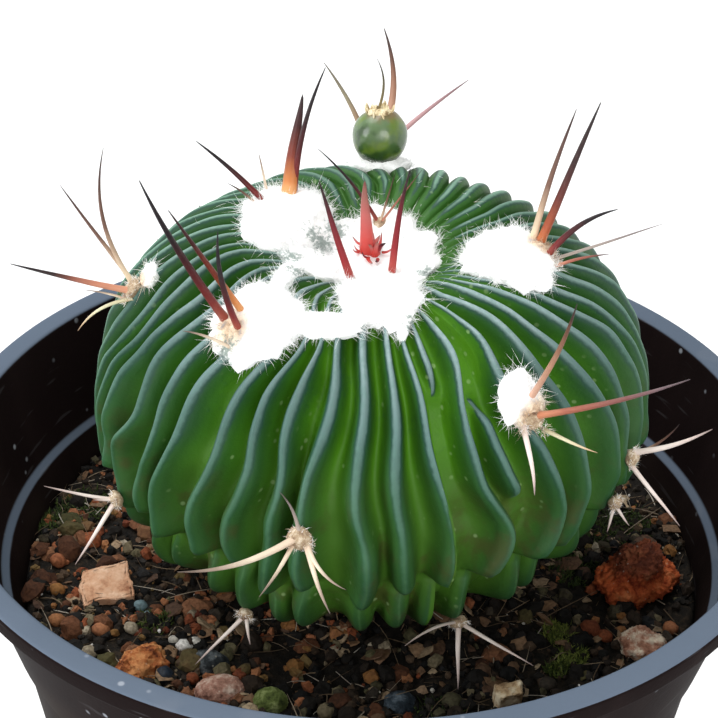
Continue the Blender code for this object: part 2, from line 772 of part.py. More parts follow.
def inner_radius(height):
    """Radius of the pot's inner wall at a height, between the ledge and the floor."""
    collar_bottom = POT_HEIGHT - COLLAR_BOTTOM_DEPTH
    ledge = POT_HEIGHT - LEDGE_DEPTH
    if height > collar_bottom:
        low = wall_radius(collar_bottom, inner=True)
        return low + (height - collar_bottom) / (ledge - collar_bottom) * (LEDGE_RADIUS - low)
    return wall_radius(height, inner=True)


def soil_height(x, y):
    """Height of the lumpy soil top over the foot, in millimetres."""
    lump = noise.noise(Vector((x, y, 3.0)) * 0.16) + 0.6 * noise.noise(Vector((x, y, 9.0)) * 0.34)
    return POT_HEIGHT - SOIL_DEPTH + SOIL_LUMP * lump


def make_soil():
    top = POT_HEIGHT - SOIL_DEPTH
    floor_top = FOOT_RISE + FLOOR_THICKNESS + 0.3
    collar_bottom = POT_HEIGHT - COLLAR_BOTTOM_DEPTH
    hole_bottom = POT_HEIGHT - ROOT_HOLE_DEPTH
    profile = [
        (0.0, floor_top),
        (wall_radius(floor_top, inner=True) - SOIL_CLEARANCE, floor_top),
        (wall_radius(collar_bottom, inner=True) - SOIL_CLEARANCE, collar_bottom),
        (inner_radius(top) - SOIL_CLEARANCE, top - 0.6),
        (inner_radius(top) - SOIL_CLEARANCE - 0.9, top),
    ]
    profile += [(radius, top) for radius in SOIL_RING_RADII]
    profile += [
        (ROOT_HOLE_RADIUS + 5.0, top),
        (ROOT_HOLE_RADIUS + 0.6, top - 0.2),
        (ROOT_HOLE_RADIUS, top - 1.2),
        (ROOT_HOLE_RADIUS - 1.4, hole_bottom),
        (0.0, hole_bottom),
    ]
    soil = make_turned(profile, SOIL_STEPS)
    outer = inner_radius(top) - SOIL_CLEARANCE - 1.0
    neck_x, neck_y = neck_centre()
    for vert in soil.data.vertices:
        x, y, z = vert.co / MM
        radius = math.hypot(x, y)
        if z > top - 0.1 and ROOT_HOLE_RADIUS + 1.0 < radius < outer:
            vert.co.z = soil_height(x, y) * MM
        if radius < ROOT_HOLE_RADIUS + 1.0 and z > hole_bottom - 1.0:
            vert.co.x += neck_x * MM
            vert.co.y += neck_y * MM
    return soil


def make_stone(name, grow=0.0):
    kind, (x, y), rise, half, turn = STONES[name]
    bm = bmesh.new()
    if kind == "chip":
        bmesh.ops.create_cube(bm, size=2.0)
        for number, vert in enumerate(bm.verts):
            vert.co.x *= 1.0 + 0.16 * math.sin(2.1 * number)
            vert.co.y *= 1.0 + 0.14 * math.cos(3.3 * number)
        bmesh.ops.bevel(
            bm,
            geom=bm.edges[:],
            offset=0.22,
            affect="EDGES",
            segments=1,
            profile=0.5,
            material=-1,
        )
    else:
        bmesh.ops.create_icosphere(bm, subdivisions=3 if name == "lava_stone" else 2, radius=1.0)
        rough = STONE_ROUGHNESS[kind]
        seed = Vector((x, y, rise))
        for vert in bm.verts:
            vert.co *= 1.0 + rough * (noise.noise(vert.co * 1.7 + seed) + 0.5 * noise.noise(vert.co * 3.9 + seed))
    sizes = Matrix.Diagonal([(side + grow) * MM for side in half] + [1.0])
    centre = Vector((x, y, POT_HEIGHT - SOIL_DEPTH + rise)) * MM
    tilt = Matrix.Rotation(math.radians(12), 4, "X")
    bm.transform(Matrix.Translation(centre) @ Matrix.Rotation(math.radians(turn), 4, "Z") @ tilt @ sizes)
    return object_from(bm, name)


# Assembly


def main():
    clear_scene()
    grow = GAP / MM
    areoles = dict(AREOLES)
    side_pads = dict(SIDE_PADS)
    for number, (azimuth, share, growth) in enumerate(BACK_AREOLES, 1):
        name = f"back_{number}"
        areoles[name] = back_areole(azimuth, share, growth, number)
        if share < YOUNG_SHARE:
            side_pads[name] = ((azimuth, share - BACK_PAD_STEP), BACK_PAD_SIZE, BACK_PAD_RISE)

    make_pot()
    body = make_body()
    pads = {"crown": make_crown_wool(), "right": plan_pad(RIGHT_PAD), "fruiting": plan_pad(FRUIT_PAD)}
    seats = [make_crown_wool(grow), plan_pad(RIGHT_PAD, grow), plan_pad(FRUIT_PAD, grow)]
    for name, pad in side_pads.items():
        pads[name] = side_pad(pad)
        seats.append(side_pad(pad, grow))
    for name, areole in areoles.items():
        cluster = make_cluster(areole)
        old = areole[0][1] > YOUNG_SHARE
        finish(cluster, f"spines_{name}", "old_spine" if old else "young_spine")
        seats.append(make_cluster(areole, grow))
    seats.append(make_fruit(grow))
    combine(body, seats, "DIFFERENCE")
    keep_largest(body)
    finish(body, "cactus_body", "skin", 60)

    for name, pad in pads.items():
        cutters = [make_cluster(areole, grow) for areole in areoles.values()]
        if name == "fruiting":
            cutters.append(make_fruit(grow))
        combine(pad, cutters, "DIFFERENCE")
        keep_largest(pad)
        finish(pad, f"wool_{name}", "wool", 60)

    remains = make_remains()
    fruit = combine(make_fruit(), [make_remains(grow)], "DIFFERENCE")
    finish(fruit, "fruit", "fruit")
    finish(remains, "flower_remains", "dried_flower")

    soil = make_soil()
    combine(soil, [make_stone(name, grow) for name in STONES], "DIFFERENCE")
    keep_largest(soil)
    finish(soil, "soil", "soil", 60)
    for name in STONES:
        finish(make_stone(name), name, STONE_FINISHES[name], 30)


main()
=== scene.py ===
"""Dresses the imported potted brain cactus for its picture.

Lengths are in millimetres, but those of the camera, the lights and the floor are in metres. Azimuths are in
degrees round the pot: 0 is +X and 270 the front. What is strewn or grown by a rule draws from one seeded
source, so the order of the draws decides where it all lies.
"""

import json
import math

import bmesh
import bpy
import numpy as np
from mathutils import Matrix, Vector, noise

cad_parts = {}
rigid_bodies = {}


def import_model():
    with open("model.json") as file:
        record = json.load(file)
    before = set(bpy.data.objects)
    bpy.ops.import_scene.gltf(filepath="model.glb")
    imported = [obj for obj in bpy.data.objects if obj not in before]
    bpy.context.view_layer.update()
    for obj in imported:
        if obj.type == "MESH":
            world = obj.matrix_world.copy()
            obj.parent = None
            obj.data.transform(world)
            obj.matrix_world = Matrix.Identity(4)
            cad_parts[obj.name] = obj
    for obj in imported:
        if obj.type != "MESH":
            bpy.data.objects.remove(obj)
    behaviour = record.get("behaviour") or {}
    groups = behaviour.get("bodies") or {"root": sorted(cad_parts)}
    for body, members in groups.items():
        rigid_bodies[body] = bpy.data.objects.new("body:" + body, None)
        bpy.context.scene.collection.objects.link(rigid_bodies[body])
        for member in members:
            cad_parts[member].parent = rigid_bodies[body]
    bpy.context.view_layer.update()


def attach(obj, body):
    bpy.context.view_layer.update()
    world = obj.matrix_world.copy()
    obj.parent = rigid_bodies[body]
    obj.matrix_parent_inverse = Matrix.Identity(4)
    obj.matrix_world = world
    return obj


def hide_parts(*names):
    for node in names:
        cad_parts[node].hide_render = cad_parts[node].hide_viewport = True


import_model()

MM = 0.001
chance = np.random.default_rng(20)

# Camera, floor and light
IMAGE_SIDE = 718
SENSOR_WIDTH = 36.0
FOCAL_PIXELS = 1800
CAMERA_RISE = 32.2
CAMERA_ROLL = 0.99
CAMERA_DISTANCE = 0.2075
CAMERA_TARGET = (-0.00065, 0.0, 0.09643)
CAMERA_NEAR = 0.01
FLOOR_HALF_SIDE = 3.0
SKY_COLOUR = (0.97, 0.99, 1.0, 1.0)
SKY_STRENGTH = 0.42
HORIZON_STRENGTH = 1.05
HORIZON_RISES = (0.24, 0.5)
SUN_STRENGTH = 2.5
SUN_ANGLE = 50
SUN_PLACE = (-0.35, 0.3, 1.0)
FILL_SIZE = 0.6
FILL_POWER = 5.0
FILLS = {
    "front_fill": ((0.25, -0.95, 0.55), (1.0, 0.98, 0.95)),
    "left_fill": ((-0.85, -0.35, 0.5), (0.97, 0.99, 1.0)),
}

# Pot
POT_HEIGHT = 85.0
RIM_RADIUS = 50.0
RIM_INNER_RADIUS = 47.0
RIM_THICKNESS = 2.6
COLLAR_TOP_RADIUS = 47.4
COLLAR_BOTTOM_RADIUS = 43.2
COLLAR_BOTTOM_DEPTH = 19.0
STEP_WIDTH = 0.9
FOOT_RADIUS = 32.6
FOOT_RING_WIDTH = 3.2
FOOT_RISE = 2.0
WALL = 1.2
LEDGE_DEPTH = 14.0
LEDGE_RADIUS = 42.5
LEDGE_WIDTH = 1.1
FLOOR_THICKNESS = 2.0
POT_STEPS = 180
SLOT_COUNT = 6
SLOT_WIDTH = 3.6
SLOT_LENGTH = 9.0
SLOT_CENTRE_RADIUS = 20.0
SHARP_ANGLE = 28
# Depths under the rim between which dust from the soil fades in
DUST_DEPTHS = (12.0, 17.0)

# Soil
SOIL_DEPTH = 17.8
SOIL_LUMP = 0.55
SOIL_CLEARANCE = 0.45
SOIL_STEPS = 220
SOIL_RING_STEP = 0.7
ROOT_HOLE_RADIUS = 8.0
ROOT_HOLE_DEPTH = 35.5

# Body: radius and height over the rim of the crest line, from the crown down
BODY_PROFILE = (
    (0.0, 22.3),
    (5.0, 23.4),
    (11.0, 26.2),
    (17.5, 27.3),
    (24.0, 24.8),
    (29.4, 18.6),
    (32.3, 8.5),
    (31.4, -1.0),
    (27.6, -8.0),
    (22.0, -12.2),
    (14.0, -15.2),
)
NECK_RADIUS = 7.4
NECK_HEIGHT = -18.0
ROOT_TIP = -34.0
BODY_CENTRE = (0.9, 0.6)
BODY_LEAN = 0.07
BODY_LEAN_HEIGHT = 6.0
DEPTH_SHARE = 0.955
CORNER_SHRINK = 0.02

# Ribs: a share runs down the body from 0 at the crown to 1 at the neck
BODY_ROWS = 100
FIRST_ROW_SHARE = 0.012
CREST_STEPS = 4
FLANK_PLACES = (0.08, 0.2, 0.36, 0.56, 0.78)
CREST_WIDTH_SHARES = (0.05, 0.2, 0.4, 0.55, 0.66, 1.0)
CREST_HALF_WIDTH = (0.6, 0.86, 0.88, 0.9, 1.2, 1.2)
CREST_PART = 0.42
BACK_CREST_PART = 0.36
END_CREST_PART = 0.24
VALLEY_ROUND = 2.3
WAVER = 0.85
CREST_LUMP = 0.34
VALLEY_LUMP = 0.16
END_SWING = 0.02
LOBE_LEAN = 5.0
# The azimuth that the back faces, and the row of the body whose azimuth says how far a rib faces it
BACK_FACING = 78
FACING_ROW = 30
BACK_ROUNDING = 0.7
BACK_FILLING = 0.5
CREST_SHARES = (0.2, 0.3, 0.4, 0.5, 0.6, 0.7)
VALLEY_SHARES = (0.0, 0.1, 0.2, 0.3, 0.45, 0.62, 0.72, 0.9, 1.0)
VALLEY_DEPTHS = (0.0, 1.2, 2.4, 3.4, 4.3, 4.6, 4.2, 2.2, 0.0)
# Azimuths of the crests in front at the crest shares
FRONT_CRESTS = (
    (187, 195, 199, 192, 188, 187),
    (193, 202, 203.5, 197, 193, 193),
    (203, 211, 208, 202, 198, 199),
    (212, 220, 214, 213, 204, 206),
    (220, 226, 222, 220, 215, 214),
    (227, 234, 229, 226, 220.5, 220),
    (238, 245, 239, 237, 232, 232),
    (246, 251, 245.5, 245, 241, 241),
    (252, 255, 252, 252, 249.5, 249),
    (258, 260, 261, 257.5, 256.5, 257),
    (266, 267, 268, 267, 269, 269),
    (271, 274, 275, 274, 277, 279),
    (276, 278, 281, 283, 286, 286),
    (283, 290, 289.5, 291.5, 297.5, 293),
    (290, 299, 301.5, 307, 311.5, 307),
    (299, 308, 312.5, 316, 317.5, 315),
    (309, 315.5, 322.5, 328, 329, 328),
    (315, 323, 331, 334, 333, 334),
    (321, 329, 341, 344, 343, 342),
    (329, 336, 346, 351, 352, 351),
)
# Ribs that end early: azimuths of the crest, and the shares where they start and end
SHORT_RIBS = (
    ((280, 282.5, 285.3, 287, 289, 289), 0.08, 0.36),
    ((287, 294.5, 293.5, 297.5, 302, 300), 0.40, 0.55),
)
BACK_RIB_COUNT = 25
BACK_WAVE = 1.7
RIB_START = 0.03
RIB_END = 0.665
RIB_END_SWING = 0.045
RIB_END_FACING = 262
RIB_END_RIPPLE = 0.012
LOBE_LENGTH = 0.2
LOBE_RISE = 0.95
RIB_FADE = 0.03
NOTCH = 0.02
SHORT_RIB_LIMIT = 0.58
SHORT_RIB_FADE = 0.05
NARROW_VALLEY = 3.0

# Areoles: place on the body as azimuth and share, then the spines as heading, rise, length, bow, sway,
# width, colour and how far the root sits from the areole's middle, round the body and down it
AREOLES = {
    "left": ((189, 0.38), (
        (192, 19, 13.8, 0.1, 0.1, 1.0, "salmon", (0.3, 0.1)),
        (151, 49, 13.9, 0, 0, 0.8, "straw", (-1.2, -0.2)),
        (126, 73, 16.1, 0.7, 1.5, 0.8, "straw", (-1.2, -0.1)),
        (211, -27, 7.6, -0.6, -0.4, 0.7, "green_cream", (1.0, 0.9)),
    )),
    "front_left": ((232, 0.32), (
        (228, 61, 24.6, 0.4, -0.2, 1.3, "dark", (-1.6, -0.4)),
        (218, 65, 18.0, 0, 0, 1.1, "ember", (0.1, -1.7)),
        (248, 75, 13.8, 0.4, -0.6, 0.9, "dark", (0.8, 0.2)),
        (216, 18, 6.8, -0.3, -0.1, 0.7, "cream", (0.9, 2.1)),
    )),
    "back_left": ((146, 0.19), (
        (180, 41, 12.0, -0.2, -0.1, 1.0, "dark", (1.0, 0.4)),
        (58, 66, 12.9, 0, 0, 2.0, "ember", (-1.6, -0.2)),
        (14, 71, 17.4, -0.7, 0.2, 1.1, "dark", (-2.8, -0.1)),
        (161, 71, 6.6, 0, 0, 0.6, "cream", (-0.5, 1.7)),
        (205, 33, 7.1, -0.2, -0.1, 0.6, "straw", (1.9, 1.1)),
    )),
    "crown": ((113, 0.03), (
        (260, 79, 11.4, 0, 0, 1.8, "young", (0, 0)),
    )),
    "crown_left": ((245, 0.08), (
        (146, 68, 12.2, 0, 0, 1.1, "crimson", (0, 0)),
    )),
    "crown_right": ((318, 0.035), (
        (44, 79, 12.8, -0.2, 0.2, 1.0, "crimson", (0, 0)),
    )),
    "crown_back": ((86, 0.105), (
        (180, 53, 12.0, -0.5, -0.1, 0.8, "dark", (0, 0)),
        (323, 74, 7.7, 0, 0, 0.5, "straw", (0, 0)),
        (335, 58, 9.6, 0, 0, 0.5, "russet", (0, 0)),
    )),
    "right": ((351.5, 0.255), (
        (39, 79, 16.3, -0.1, 0.2, 0.9, "straw", (1.4, -1.5)),
        (19, 73, 17.8, 0, 0, 1.3, "flame", (0.7, -0.7)),
        (352, 37, 9.5, -0.8, 0.3, 1.1, "dark", (-1.5, 0.4)),
        (11, 9, 13.6, 0, 0, 0.6, "grey", (-1.1, 1.4)),
        (335, 10, 7.5, -0.2, 0.1, 0.7, "russet", (-2.3, 1.8)),
    )),
    "fruiting": ((91, 0.31), (
        (118, 31, 15.4, -0.3, -0.6, 0.9, "olive", (0, 0)),
        (85, 38, 18.6, 0.2, -1.8, 1.2, "flesh", (0, 0)),
        (40, 23, 17.0, -0.3, 0.3, 0.9, "mauve", (0, 0)),
    )),
    "front_right": ((304.5, 0.435), (
        (302, 72, 17.2, 0.3, 0.3, 0.9, "flesh", (0.1, -1.9)),
        (310, 37, 24.1, 0.4, -0.1, 1.0, "rose", (0.5, -0.1)),
        (304, 9, 10.2, 0.1, -0.1, 0.7, "green_cream", (1.0, 1.6)),
        (270, -38, 8.3, 0, 0.2, 0.8, "bone", (-1.5, 0.7)),
    )),
    "front": ((257, 0.575), (
        (214, 7, 14.3, 0.7, 0.6, 0.9, "cream", (-0.4, 0.0)),
        (246, -6, 9.2, 0.1, 0.1, 0.7, "cream", (-0.6, 0.7)),
        (292, -19, 9.4, 0.1, -0.2, 0.8, "cream", (0.7, 0.7)),
        (309, -12, 8.0, 0.4, -0.7, 0.7, "cream", (0.9, 0.5)),
        (239, 66, 9.0, -0.3, 0.2, 0.6, "grey", (-0.1, -0.7)),
    )),
    "low_left": ((207, 0.675), (
        (191, 20, 8.4, 0.1, 0.1, 0.7, "bone", (0, 0)),
        (239, -28, 8.8, 0, 0, 0.8, "bone", (0, 0)),
        (209, 18, 2.9, 0, 0, 0.6, "bone", (0, 0)),
    )),
    "low_right": ((333.5, 0.585), (
        (344, 34, 9.9, 0.4, -0.2, 0.9, "bone", (0.1, -0.6)),
        (301, -22, 9.6, 0, 0, 0.8, "bone", (-0.5, 0.6)),
        (1, 44, 6.6, 0.4, -0.3, 0.6, "straw", (0.8, -0.1)),
    )),
    "bottom": ((295.5, 0.825), (
        (239, 24, 13.3, -0.4, -0.3, 0.6, "bone", (0, 0)),
        (269, -33, 7.7, 0, 0, 0.8, "bone", (0, 0)),
        (319, -1, 10.5, 0, 0, 0.7, "bone", (0, 0)),
    )),
    "bottom_left": ((242, 0.805), (
        (223, -23, 7.9, 0, 0, 0.7, "bone", (0, 0)),
        (280, -9, 4.4, 0, 0, 0.6, "bone", (0, 0)),
    )),
    "right_low": ((328.8, 0.645), (
        (244, -55, 3.4, 0.1, 0, 0.6, "bone", (0, 0)),
        (309, -34, 3.0, 0.2, 0, 0.6, "bone", (0, 0)),
    )),
}
# A short old spine on the left areole that lies along the body
SHORT_SPINE = (196, 6, 5.2, -0.2, 0.0, 0.5, "cream", (0.5, 1.2))
SPINE_TAPER = ((-0.06, 1.0), (0.3, 0.86), (0.6, 0.62), (0.85, 0.34), (1.0, 0.1))
SPINE_SIDES = 10
SPINE_RINGS = 16
SPINE_FLATNESS = 0.14
# Areoles on the hidden back: azimuth, share and growth of the spines
BACK_AREOLES = (
    (51.6, 0.57, 0.9),
    (70, 0.48, 0.6),
    (66.2, 0.72, 1.0),
    (84, 0.55, 0.95),
    (97, 0.69, 1.1),
    (108, 0.48, 0.6),
    (134.4, 0.57, 0.9),
    (124, 0.52, 0.8),
)
YOUNG_SHARE = 0.5
LOW_SHARE = 0.64
CUSHION_SIZE = 0.6
CUSHION_SIZE_PER_SPINE = 0.15
CUSHION_RISE = 0.75
CUSHION_LIFT = 0.2
CUSHION_FIBRES = 170
ROOT_FELT_SIZE = 0.75
ROOT_FELT_FIBRES = 46
# New spines in the middle of the crown
BUD_CENTRE = (-0.3, 2.2)
CROWN_BUDS = 16
RED_BUDS = 6
# Spines of a back areole: turn off its azimuth, rise, length, bow, sway and width
BACK_SPINES = (
    (0, 12, 11.0, -0.4, 0.3, 0.9),
    (-26, 24, 9.0, 0.3, -0.3, 0.8),
    (27, 20, 8.5, -0.3, 0.3, 0.8),
    (4, -20, 6.5, -0.3, 0, 0.7),
)
YOUNG_COLOURS = ("ember", "russet", "straw", "cream")
OLD_COLOURS = ("straw", "cream", "bone", "bone")

# Wool pads seen from above: centre in plan from the crown, half sizes, turn and rise
PLAN_PADS = {
    "crown": (
        ((0.0, 1.5), (7.2, 8.2), 0, 2.0),
        ((0.3, -12.0), (4.7, 7.6), 0, 1.9),
        ((-9.6, -8.2), (1.2, 5.4), -14, 0.9),
        ((-12.2, -17.0), (5.2, 4.4), -24, 2.6),
        ((-5.6, -18.3), (4.8, 1.6), -6, 0.7),
        ((-10.0, 4.8), (5.2, 6.8), -20, 2.9),
        ((-6.6, -2.0), (3.8, 4.2), 0, 1.5),
        ((2.9, -19.2), (0.6, 1.1), -8, 0.5),
    ),
    "right": (((14.6, -4.6), (4.9, 6.6), 12, 2.3),),
    "fruiting": (((0.4, 20.4), (4.0, 2.8), 0, 1.7),),
}
# Wool pads on the flanks: azimuth and share, half sizes and rise
SIDE_PADS = {
    "left": ((187.8, 0.35), (2.1, 1.2), 0.35),
    "front_right": ((303.0, 0.408), (2.7, 2.9), 1.6),
}
PAD_SINK = 1.6
PAD_TUFT = 0.5
PAD_EDGE = 0.22
BACK_PAD_SIZE = (2.4, 2.6)
BACK_PAD_RISE = 1.5
BACK_PAD_STEP = 0.035
WOOL_FLATNESS = 0.62
FIBRES_PER_SQUARE = 34
FIBRE_HALF_WIDTH = 0.024
HAIR_HALF_WIDTH = 0.015
FELT_HALF_WIDTH = 0.035
STAIN_REACH = 2.9
STAINED_AREOLES = ("left", "front_left", "right", "front_right")
STRAY_HAIRS = 300
# Places in plan from the crown, and their reach, where the wool is thin
THIN_PLACES = (
    ((-6.2, 2.2), 2.2),
    ((-4.6, 5.2), 1.8),
    ((-9.4, -3.4), 2.2),
    ((-8.6, -7.6), 1.4),
    ((5.8, -3.2), 1.6),
    ((3.6, 4.4), 0.5),
    ((4.2, -18.6), 1.6),
    ((-15.4, -19.6), 1.6),
)

# Fruit with the dried flower on it
FRUIT_PLACE = (1.4, 20.9, 29.8)
FRUIT_RADIUS = 3.3
FRUIT_STRETCH = 1.06
REMAINS_RADIUS = 1.4
REMAINS_HEIGHT = 1.3
STYLE_LENGTH = 6.4
FLOWER_SCALES = 26
SCALE_HALF_WIDTH = 0.42

# Stones: kind, centre in plan, height of the centre over the soil, half sizes, turn and slot
STONES = {
    "lava_stone": ("lump", (33.3, -5.4), 2.8, (4.9, 4.0, 5.2), 20, "red_stone"),
    "clay_chip": ("chip", (-30.4, -7.4), 0.8, (3.3, 2.9, 1.0), 14, "clay"),
    "orange_stone": ("lump", (-24.6, -20.6), 0.4, (3.1, 2.6, 2.0), 40, "red_stone"),
    "pale_chunk": ("lump", (33.0, -16.3), 0.6, (3.2, 2.3, 2.3), -30, "pale_stone"),
    "pink_pebble": ("pebble", (-15.6, -24.6), 0.3, (3.0, 2.2, 1.6), 10, "clay"),
    "olive_pebble": ("pebble", (-9.9, -26.4), 0.5, (2.1, 1.8, 1.7), 0, "olive_stone"),
    "grey_pebble": ("pebble", (-17.2, -20.0), 0.3, (2.5, 1.8, 1.5), -15, "grey_stone"),
    "blue_pebble": ("pebble", (4.6, -26.2), 0.3, (2.0, 1.7, 1.4), 5, "grey_stone"),
    "tan_sliver": ("chip", (16.6, -26.0), 1.1, (1.7, 1.0, 2.2), 10, "pale_stone"),
}
STONE_ROUGHNESS = {"lump": 0.22, "pebble": 0.06}
STONE_DEPTH = {"lump": 0.16, "chip": 0.08, "pebble": 0.1}
STONE_TILT = 12
LAVA_NARROWING = 0.3
LAVA_DARK_HEIGHT = 70.6
# Their looks: name, colours of the faces, level of the pits and their darker colour, which is painted shade,
# scale of the grain and glitter
STONE_LOOKS = {
    "lava_stone": (
        "lava_red",
        (
            (0.3, 0.06, 0.012, 0.007), (0.42, 0.28, 0.045, 0.015), (0.54, 0.55, 0.12, 0.035),
            (0.74, 0.7, 0.26, 0.1),
        ),
        0.42, (0.02, 0.01, 0.007), 500, 0.3,
    ),
    "clay_chip": (
        "fired_clay",
        ((0.32, 0.3, 0.12, 0.06), (0.46, 0.62, 0.34, 0.2), (0.66, 0.8, 0.54, 0.37)),
        0.4, (0.26, 0.11, 0.06), 420, 0.0,
    ),
    "orange_stone": (
        "orange_lava",
        ((0.36, 0.12, 0.03, 0.012), (0.47, 0.42, 0.13, 0.04), (0.58, 0.62, 0.27, 0.1)),
        0.42, (0.09, 0.03, 0.01), 600, 0.2,
    ),
    "pale_chunk": (
        "pale_pumice",
        ((0.32, 0.16, 0.06, 0.035), (0.46, 0.4, 0.2, 0.13), (0.6, 0.72, 0.62, 0.48)),
        0.4, (0.1, 0.05, 0.03), 560, 0.5,
    ),
    "pink_pebble": (
        "pink_pebble",
        ((0.32, 0.12, 0.05, 0.035), (0.48, 0.42, 0.22, 0.16), (0.64, 0.72, 0.56, 0.46)),
        0.3, (0.12, 0.06, 0.04), 600, 0.4,
    ),
    "olive_pebble": (
        "olive_pebble",
        ((0.34, 0.025, 0.035, 0.01), (0.5, 0.12, 0.16, 0.04), (0.66, 0.34, 0.4, 0.16)),
        0.3, (0.04, 0.05, 0.015), 600, 0.0,
    ),
    "grey_pebble": (
        "grey_pebble",
        ((0.34, 0.008, 0.01, 0.012), (0.5, 0.03, 0.036, 0.04), (0.68, 0.15, 0.17, 0.18)),
        0.3, (0.015, 0.016, 0.018), 700, 0.2,
    ),
    "blue_pebble": (
        "blue_pebble",
        ((0.34, 0.01, 0.015, 0.022), (0.5, 0.035, 0.05, 0.065), (0.68, 0.16, 0.2, 0.24)),
        0.3, (0.02, 0.03, 0.04), 600, 0.0,
    ),
    "tan_sliver": (
        "tan_sliver",
        ((0.34, 0.2, 0.11, 0.055), (0.47, 0.5, 0.35, 0.2), (0.62, 0.84, 0.72, 0.52)),
        0.3, (0.16, 0.09, 0.05), 600, 0.4,
    ),
}

# Litter: form, count, least and greatest half size, look, tints, lift, jitter, flatness, and -1 for more of
# it on the left
LITTER = {
    "peat_crumbs": ("crumb", 4200, (0.22, 0.8), "peat_crumbs", (0.0, 1.0), 0.3, 0.4, 1.0, 0.0),
    "dark_lumps": ("lump", 520, (0.4, 1.4), "peat_crumbs", (0.0, 0.8), 0.2, 0.3, 1.0, 0.0),
    "ochre_grit": ("chunk", 620, (0.28, 1.15), "ochre", (0.0, 1.0), 0.35, 0.34, 1.0, -1.0),
    "clods": ("lump", 150, (0.7, 1.9), "clod", (0.0, 1.0), 0.1, 0.26, 0.8, -1.0),
    "mixed_grit": ("chunk", 620, (0.25, 1.1), "grit", (0.0, 1.0), 0.35, 0.34, 1.0, 0.0),
    "white_specks": ("crumb", 170, (0.12, 0.34), "specks", (0.0, 1.0), 0.9, 0.28, 1.0, 0.0),
    "husks": ("crumb", 420, (0.5, 1.5), "husk", (0.0, 1.0), 0.4, 0.4, 0.2, 0.0),
}
# Its looks: name, roughness and colours
LITTER_LOOKS = {
    "peat_crumbs": ("peat_crumbs", 0.85, (
        (0.0, 0.003, 0.003, 0.003), (0.5, 0.009, 0.007, 0.005), (0.8, 0.028, 0.018, 0.011),
        (1.0, 0.09, 0.058, 0.035),
    )),
    "ochre": ("ochre_grit", 0.85, (
        (0.0, 0.1, 0.022, 0.01), (0.25, 0.26, 0.075, 0.028), (0.5, 0.36, 0.15, 0.07),
        (0.75, 0.26, 0.12, 0.035), (1.0, 0.14, 0.105, 0.04),
    )),
    "clod": ("clods", 0.9, (
        (0.0, 0.05, 0.02, 0.01), (0.35, 0.13, 0.05, 0.022), (0.65, 0.24, 0.11, 0.055),
        (0.85, 0.1, 0.075, 0.03), (1.0, 0.05, 0.055, 0.02),
    )),
    "grit": ("mixed_grit", 0.8, (
        (0.0, 0.012, 0.013, 0.015), (0.35, 0.045, 0.035, 0.024), (0.6, 0.09, 0.085, 0.04),
        (0.85, 0.2, 0.16, 0.1), (1.0, 0.42, 0.37, 0.28),
    )),
    "specks": ("white_specks", 0.8, ((0.0, 0.5, 0.48, 0.42), (1.0, 0.92, 0.92, 0.9))),
    "husk": ("husks", 0.7, ((0.0, 0.06, 0.03, 0.018), (0.5, 0.22, 0.13, 0.07), (1.0, 0.44, 0.34, 0.22))),
    "teal": ("teal_chip", 0.6, ((0.0, 0.1, 0.16, 0.18), (1.0, 0.2, 0.3, 0.33))),
    "navy": ("navy_pebble", 0.6, ((0.0, 0.006, 0.012, 0.022), (1.0, 0.03, 0.045, 0.07))),
}
ROOT_FIBRES = 900
BLADE_HALF_WIDTH = 0.15

# Bits that stand out on the soil: place in plan, half size, tint and sort
FOUND_BITS = (
    ((-26.2, -10.0), 0.9, 0.4, "teal"),
    ((-25.2, -11.2), 0.6, 0.9, "teal"),
    ((-22.0, -22.4), 1.2, 0.2, "navy"),
    ((-18.9, -22.6), 0.8, 0.15, "ochre"),
    ((-20.3, -17.4), 1.0, 0.75, "specks"),
    ((-21.6, -16.2), 0.7, 0.1, "specks"),
    ((-19.0, -16.6), 0.8, 0.3, "specks"),
    ((36.6, -12.6), 1.0, 0.45, "ochre"),
    ((27.2, -12.8), 1.3, 0.1, "ochre"),
    ((28.8, -14.0), 0.9, 0.2, "ochre"),
    ((-37.2, -1.8), 1.1, 0.35, "ochre"),
    ((-35.6, -13.0), 1.1, 0.6, "ochre"),
    ((-36.9, 6.3), 1.1, 0.3, "ochre"),
    ((-33.6, 2.2), 1.3, 0.25, "ochre"),
    ((-35.4, 0.4), 1.0, 0.45, "ochre"),
    ((-30.2, -14.9), 1.1, 0.5, "ochre"),
    ((-36.4, -7.6), 1.0, 0.75, "ochre"),
    ((-26.8, -14.2), 0.9, 0.95, "grit"),
    ((-31.0, -18.6), 1.1, 0.9, "grit"),
    ((10.4, -25.6), 1.3, 0.5, "grit"),
    ((-3.6, -28.0), 1.1, 0.75, "grit"),
    ((21.4, -22.4), 1.0, 0.3, "grit"),
)
# Moss: place in plan, radius, blades and the span of their tint
MOSS_PATCHES = (
    ((23.3, -13.4), 1.8, 420, (0.45, 1.0)),
    ((24.6, -17.4), 1.9, 420, (0.4, 1.0)),
    ((22.6, -19.6), 1.3, 160, (0.2, 0.8)),
    ((31.0, 8.5), 6.0, 900, (0.0, 0.4)),
    ((26.5, -1.5), 3.4, 420, (0.0, 0.35)),
    ((-40.0, 6.0), 2.2, 300, (0.0, 0.5)),
    ((-35.5, 9.5), 4.0, 500, (0.0, 0.45)),
    ((-24.4, -12.6), 2.2, 260, (0.1, 0.6)),
    ((9.0, -27.5), 3.0, 260, (0.0, 0.45)),
    ((0.0, 36.0), 6.0, 500, (0.0, 0.4)),
    ((-25.0, 27.0), 5.0, 420, (0.0, 0.5)),
)

